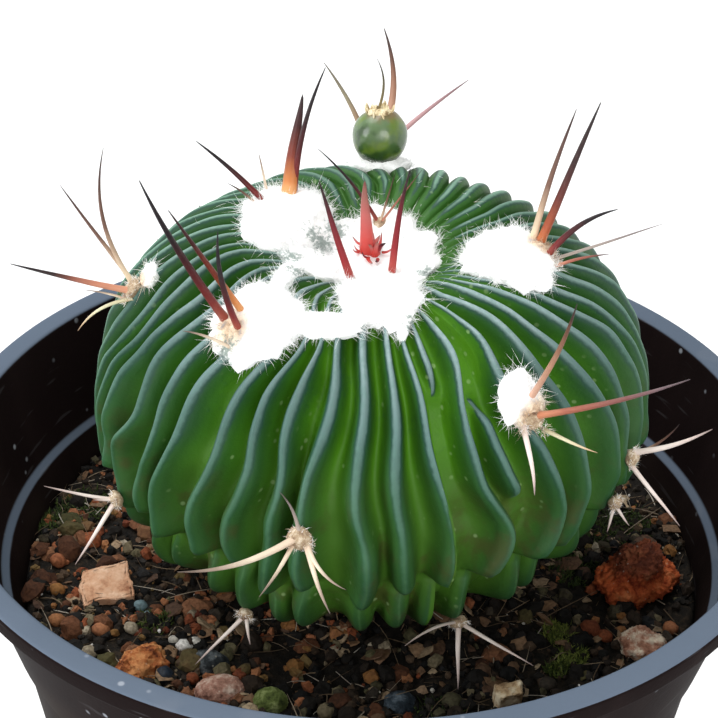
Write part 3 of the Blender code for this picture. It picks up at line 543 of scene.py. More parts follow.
# Colours of a spine from its root at 0 to its tip at 1, each as share, red, green and blue
SPINE_STOPS = {
    "salmon": (
        (0.0, 0.66, 0.32, 0.2), (0.3, 0.52, 0.21, 0.13), (0.48, 0.24, 0.08, 0.055),
        (0.62, 0.03, 0.016, 0.016), (1.0, 0.008, 0.007, 0.01),
    ),
    "green_cream": (
        (0.0, 0.55, 0.5, 0.32), (0.5, 0.72, 0.68, 0.46), (0.85, 0.6, 0.42, 0.26), (1.0, 0.3, 0.19, 0.12),
    ),
    "flame": (
        (0.0, 0.55, 0.18, 0.06), (0.14, 0.34, 0.08, 0.035), (0.32, 0.12, 0.028, 0.022),
        (0.58, 0.035, 0.014, 0.014), (1.0, 0.012, 0.01, 0.012),
    ),
    "rose": (
        (0.0, 0.62, 0.26, 0.14), (0.24, 0.36, 0.12, 0.08), (0.6, 0.19, 0.08, 0.075),
        (0.85, 0.15, 0.1, 0.11), (1.0, 0.07, 0.05, 0.055),
    ),
    "olive": (
        (0.0, 0.5, 0.2, 0.12), (0.28, 0.34, 0.2, 0.12), (0.6, 0.22, 0.19, 0.12), (1.0, 0.08, 0.07, 0.055),
    ),
    "flesh": (
        (0.0, 0.64, 0.4, 0.3), (0.35, 0.44, 0.24, 0.16), (0.65, 0.2, 0.095, 0.06),
        (0.85, 0.06, 0.03, 0.025), (1.0, 0.02, 0.014, 0.014),
    ),
    "mauve": (
        (0.0, 0.6, 0.36, 0.34), (0.5, 0.42, 0.24, 0.25), (0.85, 0.22, 0.13, 0.14), (1.0, 0.1, 0.06, 0.07),
    ),
    "grey": (
        (0.0, 0.5, 0.42, 0.36), (0.5, 0.3, 0.25, 0.23), (1.0, 0.1, 0.08, 0.08),
    ),
    "ember": (
        (0.0, 0.84, 0.5, 0.22), (0.18, 0.56, 0.2, 0.06), (0.42, 0.19, 0.035, 0.02),
        (0.7, 0.05, 0.012, 0.012), (1.0, 0.012, 0.008, 0.01),
    ),
    "dark": (
        (0.0, 0.34, 0.08, 0.05), (0.18, 0.16, 0.02, 0.02), (0.4, 0.06, 0.012, 0.014),
        (0.62, 0.015, 0.008, 0.01), (1.0, 0.008, 0.007, 0.01),
    ),
    "crimson": (
        (0.0, 0.5, 0.09, 0.07), (0.25, 0.3, 0.025, 0.03), (0.6, 0.13, 0.01, 0.018),
        (0.8, 0.03, 0.006, 0.01), (1.0, 0.012, 0.007, 0.01),
    ),
    "young": (
        (0.0, 0.5, 0.03, 0.02), (0.3, 0.55, 0.07, 0.06), (0.6, 0.5, 0.13, 0.12), (0.85, 0.3, 0.12, 0.1),
        (1.0, 0.14, 0.05, 0.04),
    ),
    "straw": (
        (0.0, 0.84, 0.72, 0.52), (0.22, 0.5, 0.36, 0.25), (0.44, 0.17, 0.09, 0.065),
        (0.8, 0.07, 0.035, 0.03), (1.0, 0.025, 0.018, 0.018),
    ),
    "cream": (
        (0.0, 0.74, 0.58, 0.44), (0.4, 0.76, 0.65, 0.5), (0.7, 0.36, 0.27, 0.21),
        (1.0, 0.1, 0.075, 0.065),
    ),
    "bone": (
        (0.0, 0.7, 0.58, 0.52), (0.4, 0.82, 0.72, 0.66), (0.75, 0.6, 0.48, 0.44), (1.0, 0.22, 0.16, 0.15),
    ),
    "russet": (
        (0.0, 0.62, 0.3, 0.2), (0.25, 0.36, 0.12, 0.08), (0.6, 0.24, 0.08, 0.06),
        (0.82, 0.1, 0.045, 0.04), (1.0, 0.04, 0.025, 0.025),
    ),
}


# Materials


class Flow:
    """One output of a material's nodes, on which arithmetic adds Math nodes."""

    def __init__(self, look, socket):
        self.look = look
        self.socket = socket

    def maths(self, operation, *values):
        return self.look.node("ShaderNodeMath", {"operation": operation}, dict(enumerate(values)))

    def __add__(self, other):
        return self.maths("ADD", self, other)

    def __radd__(self, other):
        return self.maths("ADD", other, self)

    def __sub__(self, other):
        return self.maths("SUBTRACT", self, other)

    def __rsub__(self, other):
        return self.maths("SUBTRACT", other, self)

    def __mul__(self, other):
        return self.maths("MULTIPLY", self, other)

    def __rmul__(self, other):
        return self.maths("MULTIPLY", other, self)

    def swing(self, amount):
        """Noise round 0.5 brought round 0, times the amount."""
        return (self - 0.5) * amount


class Look:
    """A material under construction."""

    def __init__(self, name, **constants):
        self.material = bpy.data.materials.new(name)
        self.material.use_nodes = True
        self.tree = self.material.node_tree
        self.shader = self.tree.nodes["Principled BSDF"]
        for socket, value in constants.items():
            self.shader.inputs[socket.replace("_", " ")].default_value = value
        self.place = self.node("ShaderNodeTexCoord", {}, {}, "Object")

    def node(self, kind, settings, values, output=0):
        """Adds a node with its settings, then the values or links of its sockets, and gives one output."""
        made = self.tree.nodes.new(kind)
        stops = settings.get("stops")
        for setting, value in settings.items():
            if setting != "stops":
                setattr(made, setting, value)
        if stops:
            elements = made.color_ramp.elements
            for _ in range(len(stops) - len(elements)):
                elements.new(0.5)
            for element, (position, *colour) in zip(elements, stops):
                element.position = position
                element.color = (*colour, 1.0)
        for socket, value in values.items():
            self.set(made.inputs[socket], value)
        return Flow(self, made.outputs[output])

    def set(self, socket, value):
        if isinstance(value, Flow):
            self.tree.links.new(value.socket, socket)
        elif isinstance(value, tuple) and socket.type == "RGBA":
            socket.default_value = (*value, 1.0)
        else:
            socket.default_value = value

    def part(self, axis, vector=None):
        """One coordinate of the place, or of another vector."""
        return self.node("ShaderNodeSeparateXYZ", {}, {0: vector or self.place}, axis)

    def attribute(self, name):
        return self.node("ShaderNodeAttribute", {"attribute_name": name}, {}, "Fac")

    def grain(self, scale, detail=3.0, roughness=0.5, place=None):
        values = {"Vector": place or self.place, "Scale": scale, "Detail": detail, "Roughness": roughness}
        return self.node("ShaderNodeTexNoise", {}, values)

    def cells(self, scale, place=None, feature="F1"):
        values = {"Vector": place or self.place, "Scale": scale}
        return self.node("ShaderNodeTexVoronoi", {"feature": feature}, values, "Distance")

    def stretched(self, x, y, z):
        return self.node("ShaderNodeMapping", {}, {"Vector": self.place, "Scale": (x, y, z)})

    def between(self, flow, low, high):
        """0 under low and 1 over high, with a smooth step between."""
        settings = {"interpolation_type": "SMOOTHSTEP"}
        return self.node("ShaderNodeMapRange", settings, {"Value": flow, "From Min": low, "From Max": high})

    def ramp(self, flow, *stops):
        return self.node("ShaderNodeValToRGB", {"stops": stops}, {"Fac": flow})

    def mix(self, share, first, second, blend="MIX"):
        settings = {"data_type": "RGBA", "blend_type": blend}
        return self.node("ShaderNodeMix", settings, {0: share, 6: first, 7: second}, 2)

    def bump(self, height, distance, strength=1.0, under=None):
        values = {"Height": height, "Distance": distance * MM, "Strength": strength}
        if under:
            values["Normal"] = under
        return self.node("ShaderNodeBump", {}, values)

    def finish(self, colour, roughness=None, normal=None):
        self.set(self.shader.inputs["Base Color"], colour)
        if roughness is not None:
            self.set(self.shader.inputs["Roughness"], roughness)
        if normal is not None:
            self.set(self.shader.inputs["Normal"], normal)
        return self.material


def cactus_skin():
    """Green ribs: bright in the valleys, dark on the flanks and with a blue grey band on the crests that is
    partly wax and partly a painted highlight, with painted shade at the back and a painted highlight along
    the low crests.
    """
    look = Look("cactus_skin", Specular_IOR_Level=0.3)
    ridge = look.attribute("ridge")
    crest = look.attribute("crest")
    age = look.attribute("age")
    mottle = look.grain(230, 4.0, 0.6)
    drift = look.grain(60, 2.0)
    fine = look.grain(1500, 3.0, 0.6)
    height = ridge + mottle.swing(0.26)
    fresh = look.ramp(
        height,
        (0.0, 0.07, 0.225, 0.006), (0.2, 0.048, 0.175, 0.007), (0.45, 0.03, 0.122, 0.011),
        (0.72, 0.019, 0.08, 0.02), (0.95, 0.014, 0.058, 0.03),
    )
    aged = look.ramp(
        height,
        (0.0, 0.06, 0.165, 0.016), (0.35, 0.042, 0.13, 0.018), (0.6, 0.03, 0.1, 0.02),
        (0.95, 0.03, 0.11, 0.03),
    )
    ageing = look.between(age + drift.swing(0.2), 0.4, 0.62)
    green = look.mix(ageing, fresh, aged)
    brown = look.between(mottle + drift * 0.6, 0.8, 1.0) * look.between(age, 0.45, 0.66) * 0.6
    green = look.mix(brown, green, (0.07, 0.06, 0.016))
    # Painted shade at the back, towards +Y: darker valleys, a narrower pale band on the crests and a
    # greener, darker crest colour.
    painted_back_shade = look.between(look.part("Y"), -0.014, 0.012)
    green = look.mix(painted_back_shade * look.between(ridge, 0.75, 0.3) * 0.6, green, (0.016, 0.07, 0.018))
    band = crest + fine.swing(0.3) + mottle.swing(0.36) - ageing * 0.3 - painted_back_shade * 0.28
    # The crest band's colour: partly the blue grey wax, partly a painted highlight.
    waxy_bloom_and_highlight = look.mix(look.between(age, 0.24, 0.46), (0.28, 0.37, 0.375), (0.08, 0.15, 0.142))
    waxy_bloom_and_highlight = look.mix(look.between(fine, 0.3, 0.7) * 0.5, waxy_bloom_and_highlight, (0.1, 0.2, 0.17))
    waxy_bloom_and_highlight = look.mix(ageing * 0.85, waxy_bloom_and_highlight, (0.045, 0.135, 0.062))
    waxy_bloom_and_highlight = look.mix(painted_back_shade * 0.6, waxy_bloom_and_highlight, (0.13, 0.3, 0.16))
    shoulder = look.mix(look.between(band, 0.0, 0.3) * (1.0 - ageing * 0.75), green, (0.014, 0.058, 0.038))
    # Where the pale crest band shows, as wax and painted highlight, in random patches that stand in for
    # where the highlight falls.
    patchy = look.between(look.grain(45, 2.0), 0.34, 0.58) * 0.45 + 0.55
    bloom_and_highlight_share = look.between(band, 0.22, 0.62) * patchy * look.between(age, 0.8, 0.56)
    colour = look.mix(bloom_and_highlight_share, shoulder, waxy_bloom_and_highlight)
    # Painted highlight: a pale green line along the crests of the older, lower ribs.
    edge = look.between(band, 0.5, 0.8) * look.between(age, 0.54, 0.7)
    colour = look.mix(edge * 0.6, colour, (0.085, 0.2, 0.075))
    dots = look.between(look.cells(620), 0.22, 0.1) * look.between(look.grain(180, 2.0), 0.46, 0.58)
    colour = look.mix(dots * look.between(ridge, 0.7, 0.2) * 0.5, colour, (0.34, 0.5, 0.22))
    roughness = look.node("ShaderNodeMapRange", {}, {"Value": mottle, "To Min": 0.46, "To Max": 0.64})
    return look.finish(colour, roughness, look.bump(fine + mottle * 2.0, 0.12, 0.5))


def glowing_wool_white():
    """White wool that yellows round the roots of the spines, with painted shade in its hollows and where it
    is thin, and a faint painted glow.
    """
    # Painted light: a faint white glow that lifts the wool's shade.
    look = Look("wool", Specular_IOR_Level=0.1, Emission_Strength=0.1)
    look.shader.inputs["Emission Color"].default_value = (1.0, 1.0, 1.0, 1.0)
    stain = look.attribute("stain")
    tufts = look.grain(900, 4.0, 0.7)
    stained = look.ramp(tufts, (0.34, 0.16, 0.08, 0.04), (0.44, 0.5, 0.32, 0.17), (0.62, 0.86, 0.74, 0.56))
    # Painted shade: the wool turns grey where the tuft grain, which also makes its bump, is low.
    white_shaded_in_hollows = look.mix(look.between(tufts, 0.25, 0.6), (0.9, 0.92, 0.92), (0.97, 0.97, 0.96))
    colour = look.mix(look.between(stain + tufts.swing(0.6), 0.25, 0.8), white_shaded_in_hollows, stained)
    # Where the wool is thin the body's colour shows through, darkened as painted shade.
    thin_spots_and_shade = look.between(look.attribute("thin") + look.grain(1700, 3.0, 0.7).swing(2.2), 0.5, 0.95)
    colour = look.mix(thin_spots_and_shade * 0.85, colour, (0.13, 0.2, 0.17))
    return look.finish(colour, 0.9, look.bump(tufts, 0.5, 0.5))


def spine_colour(name, stops):
    """A spine's colours from its root, at 0, to its tip, at 1."""
    look = Look(f"spine_{name}", Specular_IOR_Level=0.24)
    along = look.attribute("along")
    streaks = look.grain(1500, 3.0, 0.6)
    blotches = look.grain(420, 2.0)
    colour = look.ramp(along + blotches.swing(0.14), *stops)
    dusty = look.mix(look.between(streaks, 0.5, 0.8) * 0.07, colour, (0.4, 0.3, 0.25))
    return look.finish(dusty, 0.4, look.bump(streaks, 0.05, 0.5))


def grained(name, scale, stops, roughness, depth, strength):
    """A dry finish whose colours and relief follow one grain."""
    look = Look(name, Specular_IOR_Level=0.2)
    grain = look.grain(scale, 4.0, 0.7)
    return look.finish(look.ramp(grain, *stops), roughness, look.bump(grain, depth, strength))


def cushion_brown():
    stops = ((0.3, 0.16, 0.09, 0.06), (0.5, 0.42, 0.31, 0.2), (0.68, 0.74, 0.64, 0.5))
    return grained("areole_cushion", 1300, stops, 0.9, 0.25, 0.8)


def fruit_green():
    look = Look("fruit_skin", Specular_IOR_Level=0.6)
    height = look.attribute("height")
    streaks = look.grain(260, 3.0, 0.6, look.stretched(1.0, 1.0, 0.4))
    clouds = look.grain(330, 2.0, 0.5)
    fine = look.grain(1400, 3.0)
    # The ramp up the fruit makes its lower part darker: painted shade.
    colour = look.ramp(
        height + streaks.swing(0.5),
        (0.05, 0.01, 0.03, 0.008), (0.35, 0.026, 0.06, 0.01), (0.6, 0.055, 0.11, 0.032),
        (0.85, 0.11, 0.17, 0.08),
    )
    colour = look.mix(look.between(clouds, 0.5, 0.64) * 0.8, colour, (0.12, 0.19, 0.02))
    colour = look.mix(look.between(clouds, 0.44, 0.34) * 0.6, colour, (0.012, 0.026, 0.012))
    brown = look.between(height + streaks.swing(0.5), 0.84, 0.98)
    colour = look.mix(brown * 0.8, colour, (0.2, 0.12, 0.05))
    return look.finish(colour, 0.24, look.bump(fine + streaks, 0.05, 0.4))


def dried_flower():
    stops = ((0.34, 0.24, 0.16, 0.08), (0.46, 0.68, 0.56, 0.34), (0.6, 0.88, 0.8, 0.58))
    return grained("dried_flower", 1100, stops, 0.85, 0.2, 0.6)


def dry_style():
    look = Look("dry_style", Specular_IOR_Level=0.2)
    along = look.attribute("along")
    fine = look.grain(1300, 3.0)
    height = along + fine.swing(0.2)
    colour = look.ramp(height, (0.1, 0.22, 0.17, 0.08), (0.6, 0.1, 0.09, 0.06), (0.9, 0.04, 0.04, 0.04))
    return look.finish(colour, 0.8, look.bump(fine, 0.1, 0.5))


def pot_plastic():
    """Black moulded plastic with a painted bluish reflection of the sky on the faces that look up, dust and
    fine scratches.
    """
    look = Look("pot_plastic", Specular_IOR_Level=0.009)
    cloud = look.grain(28, 4.0, 0.6)
    fine = look.grain(2400, 2.0)
    scratches = look.grain(300, 2.0, 0.4, look.stretched(0.4, 0.4, 4.0))
    streak = look.between(look.grain(60, 3.0, 0.6, look.stretched(1.0, 1.0, 0.12)), 0.45, 0.75)
    # Painted reflection: faces that look up, such as the rim's top and the inner ledge, take a blue grey sky
    # colour.
    top = look.between(look.part("Z", look.node("ShaderNodeNewGeometry", {}, {}, "Normal")), 0.5, 0.9)
    height = look.part("Z")
    wall = look.mix(cloud, (0.006, 0.004, 0.004), (0.014, 0.009, 0.009))
    wall = look.mix(streak * 0.4, wall, (0.03, 0.019, 0.018))
    rim = look.mix(cloud, (0.08, 0.104, 0.142), (0.13, 0.162, 0.212))
    colour = look.mix(top, wall, rim)
    dust = look.between(look.cells(330), 0.15, 0.06) * look.between(look.grain(90, 2.0), 0.5, 0.62)
    colour = look.mix(dust * 0.55, colour, (0.42, 0.45, 0.5))
    lines = look.between(scratches, 0.66, 0.72) * 0.06
    colour = look.mix(lines, colour, (0.3, 0.3, 0.32))
    low = look.between(height, *((POT_HEIGHT - depth) * MM for depth in DUST_DEPTHS))
    colour = look.mix(low * look.between(cloud, 0.4, 0.6) * 0.2, colour, (0.045, 0.034, 0.025))
    roughness = look.node("ShaderNodeMapRange", {}, {"Value": cloud, "To Min": 0.42, "To Max": 0.62})
    return look.finish(colour, roughness, look.bump(fine, 0.05, 0.6))


def peat():
    look = Look("peat", Specular_IOR_Level=0.25)
    crumbs = look.grain(900, 5.0, 0.7)
    patches = look.grain(160, 3.0)
    colour = look.ramp(
        crumbs * 0.7 + patches * 0.3,
        (0.38, 0.003, 0.0025, 0.002), (0.52, 0.012, 0.009, 0.006), (0.62, 0.036, 0.024, 0.014),
        (0.72, 0.1, 0.07, 0.042),
    )
    return look.finish(colour, 0.85, look.bump(crumbs, 0.6, 0.9))


def crumb_colours(name, roughness, stops):
    """Crumbs of one sort, each with its own place in the row of colours."""
    look = Look(name, Specular_IOR_Level=0.3)
    tint = look.attribute("tint")
    spots = look.grain(1300, 3.0, 0.6)
    colour = look.ramp(tint + spots.swing(0.22), *stops)
    shade = look.ramp(look.grain(2600, 2.0), (0.3, 0.55, 0.52, 0.5), (0.6, 1.15, 1.12, 1.1))
    colour = look.mix(0.8, colour, shade, "MULTIPLY")
    return look.finish(colour, roughness, look.bump(spots, 0.15, 0.8))


def rough_stone(name, stops, pit, pit_shade_colour, scale, glitter, dark_over):
    """A broken stone whose pits are painted darker than its faces, as shade."""
    look = Look(name, Specular_IOR_Level=0.25)
    height = look.attribute("height")
    faces = look.grain(scale, 5.0, 0.65)
    fine = look.grain(2600, 3.0)
    colour = look.ramp(faces, *stops)
    # Painted shade: the low places of the broken surface take the pits' colour.
    colour = look.mix(look.between(height + fine.swing(0.3), pit, pit - 0.28) * 0.85, colour, pit_shade_colour)
    if dark_over:
        dark = look.between(look.part("Z") + faces.swing(0.006), dark_over * MM, (dark_over + 2.0) * MM)
        colour = look.mix(dark * 0.75, colour, (0.09, 0.035, 0.022))
    if glitter:
        colour = look.mix(look.between(look.cells(900), 0.16, 0.08) * glitter, colour, (0.8, 0.74, 0.62))
    return look.finish(colour, 0.88, look.bump(faces + fine * 0.5, 0.35, 0.8))


def strand_colours(name, specular, stops, share, dirt, roughness, strength):
    """Thin strands, each with its own tint, dirtied by a grain."""
    look = Look(name, Specular_IOR_Level=specular)
    colour = look.ramp(look.attribute("tint"), *stops)
    tone = look.grain(1500, 2.0)
    colour = look.mix(tone * share, colour, dirt)
    return look.finish(colour, roughness, look.bump(tone, 0.1, strength))


def moss_green():
    stops = ((0.0, 0.014, 0.024, 0.006), (0.5, 0.07, 0.1, 0.014), (1.0, 0.34, 0.38, 0.08))
    return strand_colours("moss", 0.3, stops, 0.4, (0.02, 0.05, 0.01), 0.7, 0.5)


def root_fibre():
    stops = ((0.0, 0.06, 0.035, 0.02), (0.5, 0.3, 0.22, 0.14), (1.0, 0.72, 0.68, 0.6))
    return strand_colours("root_fibre", 0.2, stops, 0.3, (0.1, 0.07, 0.04), 0.8, 0.4)


def studio_floor():
    look = Look("studio_floor", Specular_IOR_Level=0.2)
    tone = look.grain(6, 2.0)
    return look.finish(look.mix(tone, (0.93, 0.93, 0.93), (0.95, 0.95, 0.95)), 0.8)


# Meshes


def object_from(bm, name, smooth=True):
    """Gives the bmesh outward faces and makes it an object."""
    bm.normal_update()
    bmesh.ops.recalc_face_normals(bm, faces=bm.faces)
    mesh = bpy.data.meshes.new(name)
    bm.to_mesh(mesh)
    bm.free()
    return object_of(mesh, name, smooth)


def object_of(mesh, name, smooth=True):
    if smooth:
        mesh.shade_smooth()
    else:
        mesh.shade_flat()
    return placed(name, mesh)


def placed(name, data):
    """The object of a mesh, a light or a camera, in the scene."""
    made = bpy.data.objects.new(name, data)
    bpy.context.scene.collection.objects.link(made)
    return made


def finished_mesh(obj):
    """The object's mesh with its modifiers carried out."""
    return bpy.data.meshes.new_from_object(obj.evaluated_get(bpy.context.evaluated_depsgraph_get()))


def show(obj, look, replaces, slot):
    """Finishes a piece: its material, its body and the CAD nodes that it stands for; the slot is not used.
    """
    if look:
        obj.data.materials.clear()
        obj.data.materials.append(look)
    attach(obj, "root")
    if replaces:
        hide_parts(*replaces)


def corners_of(mesh):
    flat = np.empty(len(mesh.vertices) * 3)
    mesh.vertices.foreach_get("co", flat)
    return flat.reshape(-1, 3)


def set_corners(mesh, corners):
    mesh.vertices.foreach_set("co", np.asarray(corners, float).ravel())
    mesh.update()


def set_values(mesh, name, values):
    mesh.attributes.new(name, "FLOAT", "POINT").data.foreach_set("value", np.asarray(values, float).ravel())


def join(objects, name):
    """One object of several, which keeps their materials."""
    looks = []
    bm = bmesh.new()
    for obj in objects:
        mesh = obj.data
        slots = []
        for look in mesh.materials:
            if look not in looks:
                looks.append(look)
            slots.append(looks.index(look))
        before = len(bm.faces)
        bm.from_mesh(mesh)
        bm.faces.ensure_lookup_table()
        for face in bm.faces[before:]:
            face.material_index = slots[face.material_index] if slots else 0
        bpy.data.objects.remove(obj, do_unlink=True)
    mesh = bpy.data.meshes.new(name)
    bm.to_mesh(mesh)
    bm.free()
    for look in looks:
        mesh.materials.append(look)
    return placed(name, mesh)


def rod(rings, sides=3):
    """A unit rod up Z whose rings are heights and radii; a radius of nothing closes an end."""
    bm = bmesh.new()
    last = len(rings) - 1
    bmesh.ops.create_grid(bm, x_segments=sides, y_segments=last, size=1.0)
    for vert in bm.verts:
        angle = math.pi * (vert.co.x + 1.0)
        height, radius = rings[round((vert.co.y + 1.0) * 0.5 * last)]
        vert.co = (radius * math.cos(angle), radius * math.sin(angle), height)
    bmesh.ops.remove_doubles(bm, verts=bm.verts, dist=1e-5)
    return object_from(bm, "rod")


def strew(template, name, places, along, wide, bend=None, jitter=0.0, tint=None, thin=1.0, smooth=True):
    """Copies of the template with its Z on along, its X scaled to wide, bent and jittered copy by copy."""
    count = len(places)
    repeats = template.modifiers.new("Repeats", "ARRAY")
    repeats.count = count
    repeats.use_relative_offset = False
    mesh = finished_mesh(template)
    bpy.data.objects.remove(template, do_unlink=True)
    local = corners_of(mesh).reshape(count, -1, 3)
    if jitter:
        local = local * (1.0 + jitter * chance.uniform(-1.0, 1.0, local.shape))
    ahead = unit(along)
    side = unit(np.cross(ahead, chance.normal(size=(count, 3))))
    other = np.cross(ahead, side)
    wide = np.broadcast_to(np.asarray(wide, float), (count,))[:, None]
    x, y, z = local[..., 0:1], local[..., 1:2], local[..., 2:3]
    corners = places[:, None] + z * along[:, None]
    corners = corners + x * (side * wide)[:, None] + y * (other * wide * thin)[:, None]
    if bend is not None:
        corners = corners + z * z * bend[:, None]
    set_corners(mesh, corners * MM)
    made = object_of(mesh, name, smooth)
    if tint is not None:
        mark_copies(made, "tint", tint)
    return made


def moved(place):
    """The move to a place in millimetres."""
    return Matrix.Translation(Vector(place) * MM)


def sized(x, y, z):
    """The scaling of a unit shape by sizes in millimetres."""
    return Matrix.Diagonal((x * MM, y * MM, z * MM, 1.0))


def mark_copies(obj, name, values):
    """Gives every corner of each strewn copy its copy's value."""
    set_values(obj.data, name, np.repeat(values, len(obj.data.vertices) // len(values)))


def unit(rows):
    """The rows at length 1."""
    return rows / np.linalg.norm(rows, axis=-1, keepdims=True)


def off_normals(rows, normals, share=1.0):
    """The rows without their part, or a share of it, along the normals."""
    return rows - normals * np.sum(rows * normals, axis=1, keepdims=True) * share


def smooth_value(knots, values, x):
    """The cubic curve through the values at the knots, held level beyond its ends."""
    knots = np.asarray(knots, float)
    values = np.asarray(values, float)
    slopes = np.gradient(values, knots)
    x = np.clip(x, knots[0], knots[-1])
    i = np.clip(np.searchsorted(knots, x) - 1, 0, len(knots) - 2)
    step = knots[i + 1] - knots[i]
    t = (x - knots[i]) / step
    level = values[i] * (1 + 2 * t) * (1 - t) ** 2 + values[i + 1] * t * t * (3 - 2 * t)
    return level + step * (slopes[i] * t * (1 - t) ** 2 + slopes[i + 1] * t * t * (t - 1))


def smooth_step(low, high, x):
    t = np.clip((np.asarray(x, float) - low) / (high - low), 0.0, 1.0)
    return t * t * (3 - 2 * t)


def direction(heading, rise):
    h = np.radians(heading)
    r = np.radians(rise)
    return np.stack((np.cos(r) * np.cos(h), np.cos(r) * np.sin(h), np.sin(r) + 0.0 * h), -1)


def rough(x, y, z, scale=1.0):
    return noise.noise(Vector((x, y, z)) * scale)


# The body's form


def profile_shares():
    points = np.array(BODY_PROFILE)
    lengths = np.hypot(*np.diff(points, axis=0).T)
    travelled = np.concatenate(([0.0], np.cumsum(lengths)))
    return travelled / travelled[-1], travelled[-1]


PROFILE_SHARES, PROFILE_LENGTH = profile_shares()
PROFILE_RADII, PROFILE_HEIGHTS = np.array(BODY_PROFILE).T


def profile_points(share):
    radius = smooth_value(PROFILE_SHARES, PROFILE_RADII, share)
    return radius, smooth_value(PROFILE_SHARES, PROFILE_HEIGHTS, share)


def neck_centre():
    x, y, _ = turned_points(0.0, 0.0, NECK_HEIGHT)
    return float(x), float(y)


def turned_points(azimuth, radius, height):
    """Places on the body from their radius and height over the rim, in millimetres."""
    angle = np.radians(azimuth)
    radius = radius * (1.0 - CORNER_SHRINK * np.sin(2 * angle) ** 2)
    lean = BODY_LEAN * np.minimum(0.0, height - BODY_LEAN_HEIGHT)
    x = BODY_CENTRE[0] + lean + radius * np.cos(angle)
    y = BODY_CENTRE[1] + DEPTH_SHARE * radius * np.sin(angle)
    return np.stack((x, y, POT_HEIGHT + height + 0.0 * angle), -1)


def body_points(azimuth, share, lift=0.0):
    """Places on the crest line's surface, lifted off it along its normal."""
    azimuth, share, lift = np.broadcast_arrays(np.asarray(azimuth, float), np.asarray(share, float), lift)
    radius, height = profile_points(share)
    low_radius, low_height = profile_points(np.maximum(share - 0.005, 0.0))
    high_radius, high_height = profile_points(np.minimum(share + 0.005, 1.0))
    outward = low_height - high_height
    upward = high_radius - low_radius
    slope = np.hypot(outward, upward)
    radius = np.maximum(radius + lift * outward / slope, 0.0)
    return turned_points(azimuth, radius, height + lift * upward / slope)


def body_normals(azimuth, share):
    return unit(body_points(azimuth, share, 1.0) - body_points(azimuth, share))


def plan_places(x, y):
    """Azimuths and shares of the places on the upper body that are x and y from the crown in plan."""
    radius = np.hypot(x, y / DEPTH_SHARE)
    upper = PROFILE_SHARES <= PROFILE_SHARES[6]
    share = np.interp(radius, PROFILE_RADII[upper], PROFILE_SHARES[upper])
    for _ in range(3):
        share = np.maximum(share + (radius - profile_points(share)[0]) / PROFILE_LENGTH, 0.0)
    return np.degrees(np.arctan2(y / DEPTH_SHARE, x)), share


def rib_end(azimuth):
    swing = math.cos(math.radians(azimuth - RIB_END_FACING))
    return RIB_END + RIB_END_SWING * swing + RIB_END_RIPPLE * math.sin(math.radians(azimuth * 7.3))


def back_crests():
    """Crest azimuths of the ribs between the last and the first of the front ones, in slow waves."""
    last = np.array(FRONT_CRESTS[-1], float)
    first = np.array(FRONT_CRESTS[0], float) + 360.0
    crests = []
    for k in range(1, BACK_RIB_COUNT + 1):
        along = k / (BACK_RIB_COUNT + 1)
        wave = [BACK_WAVE * math.sin(9.0 * share + 0.62 * k) for share in CREST_SHARES]
        fade = math.sin(math.pi * along) ** 0.3
        crests.append(last + along * (first - last) + fade * np.array(wave))
    return crests


def all_ribs():
    """Each rib as its crest azimuths and the shares where it starts and ends, in order round the body."""
    ribs = [(np.array(crest, float), RIB_START, rib_end(crest[4])) for crest in FRONT_CRESTS]
    ribs += [(crest, RIB_START, rib_end(crest[4])) for crest in back_crests()]
    ribs += [(np.array(crest, float), start, end) for crest, start, end in SHORT_RIBS]
    return sorted(ribs, key=lambda rib: rib[0][2])


def crest_rise(rib, share):
    """How far a crest stands up at these shares, from 0 in the valley to 1 on the crest line."""
    _, start, end = rib
    rise = smooth_step(start - RIB_FADE, start + RIB_FADE, share)
    if end < SHORT_RIB_LIMIT:
        return rise * (1.0 - smooth_step(end - SHORT_RIB_FADE, end + NOTCH, share))
    notch = 1.0 - smooth_step(end - NOTCH, end + NOTCH, share)
    lobe = np.sin(np.pi * np.clip((share - end) / LOBE_LENGTH, 0.0, 1.0))
    return rise * np.maximum(notch, LOBE_RISE * lobe)


RIBS = all_ribs()


def surface_lift(azimuth, share):
    """How far the crest nearest to a place lies off the crest line, which is down into the body."""
    def distance(rib):
        apart = (float(smooth_value(CREST_SHARES, rib[0], share)) - azimuth) % 360.0
        return min(apart, 360.0 - apart)

    nearest = min(RIBS, key=distance)
    valley = float(smooth_value(VALLEY_SHARES, VALLEY_DEPTHS, share))
    return -valley * (1.0 - float(crest_rise(nearest, share)))


def rib_section(half, drop, crest_half, part):
    """Places across half a valley from its crest, their drop and nearness to the crest, row by row."""
    edge = np.minimum(crest_half / half, part)
    steps = np.arange(CREST_STEPS + 1) / CREST_STEPS
    on_crest = edge[:, None] * steps
    on_flank = edge[:, None] + (1.0 - edge[:, None]) * np.array(FLANK_PLACES + (1.0,))
    across = np.hstack((on_crest, on_flank))
    crest_drop = np.minimum(crest_half, 0.45 * drop)[:, None]
    round_part = crest_drop * steps**2
    fall = 1.0 - ((1.0 - on_flank) / (1.0 - edge[:, None])) ** VALLEY_ROUND
    down = np.hstack((round_part, crest_drop + (drop[:, None] - crest_drop) * fall))
    nearness = np.hstack((np.broadcast_to(1.0 - steps, on_crest.shape), 0.0 * on_flank))
    return across, down, nearness


def wander(number, step, pace, level, shares):
    """Slow noise down one rib, row by row."""
    return np.array([rough(number * step, share * pace, level) for share in shares])


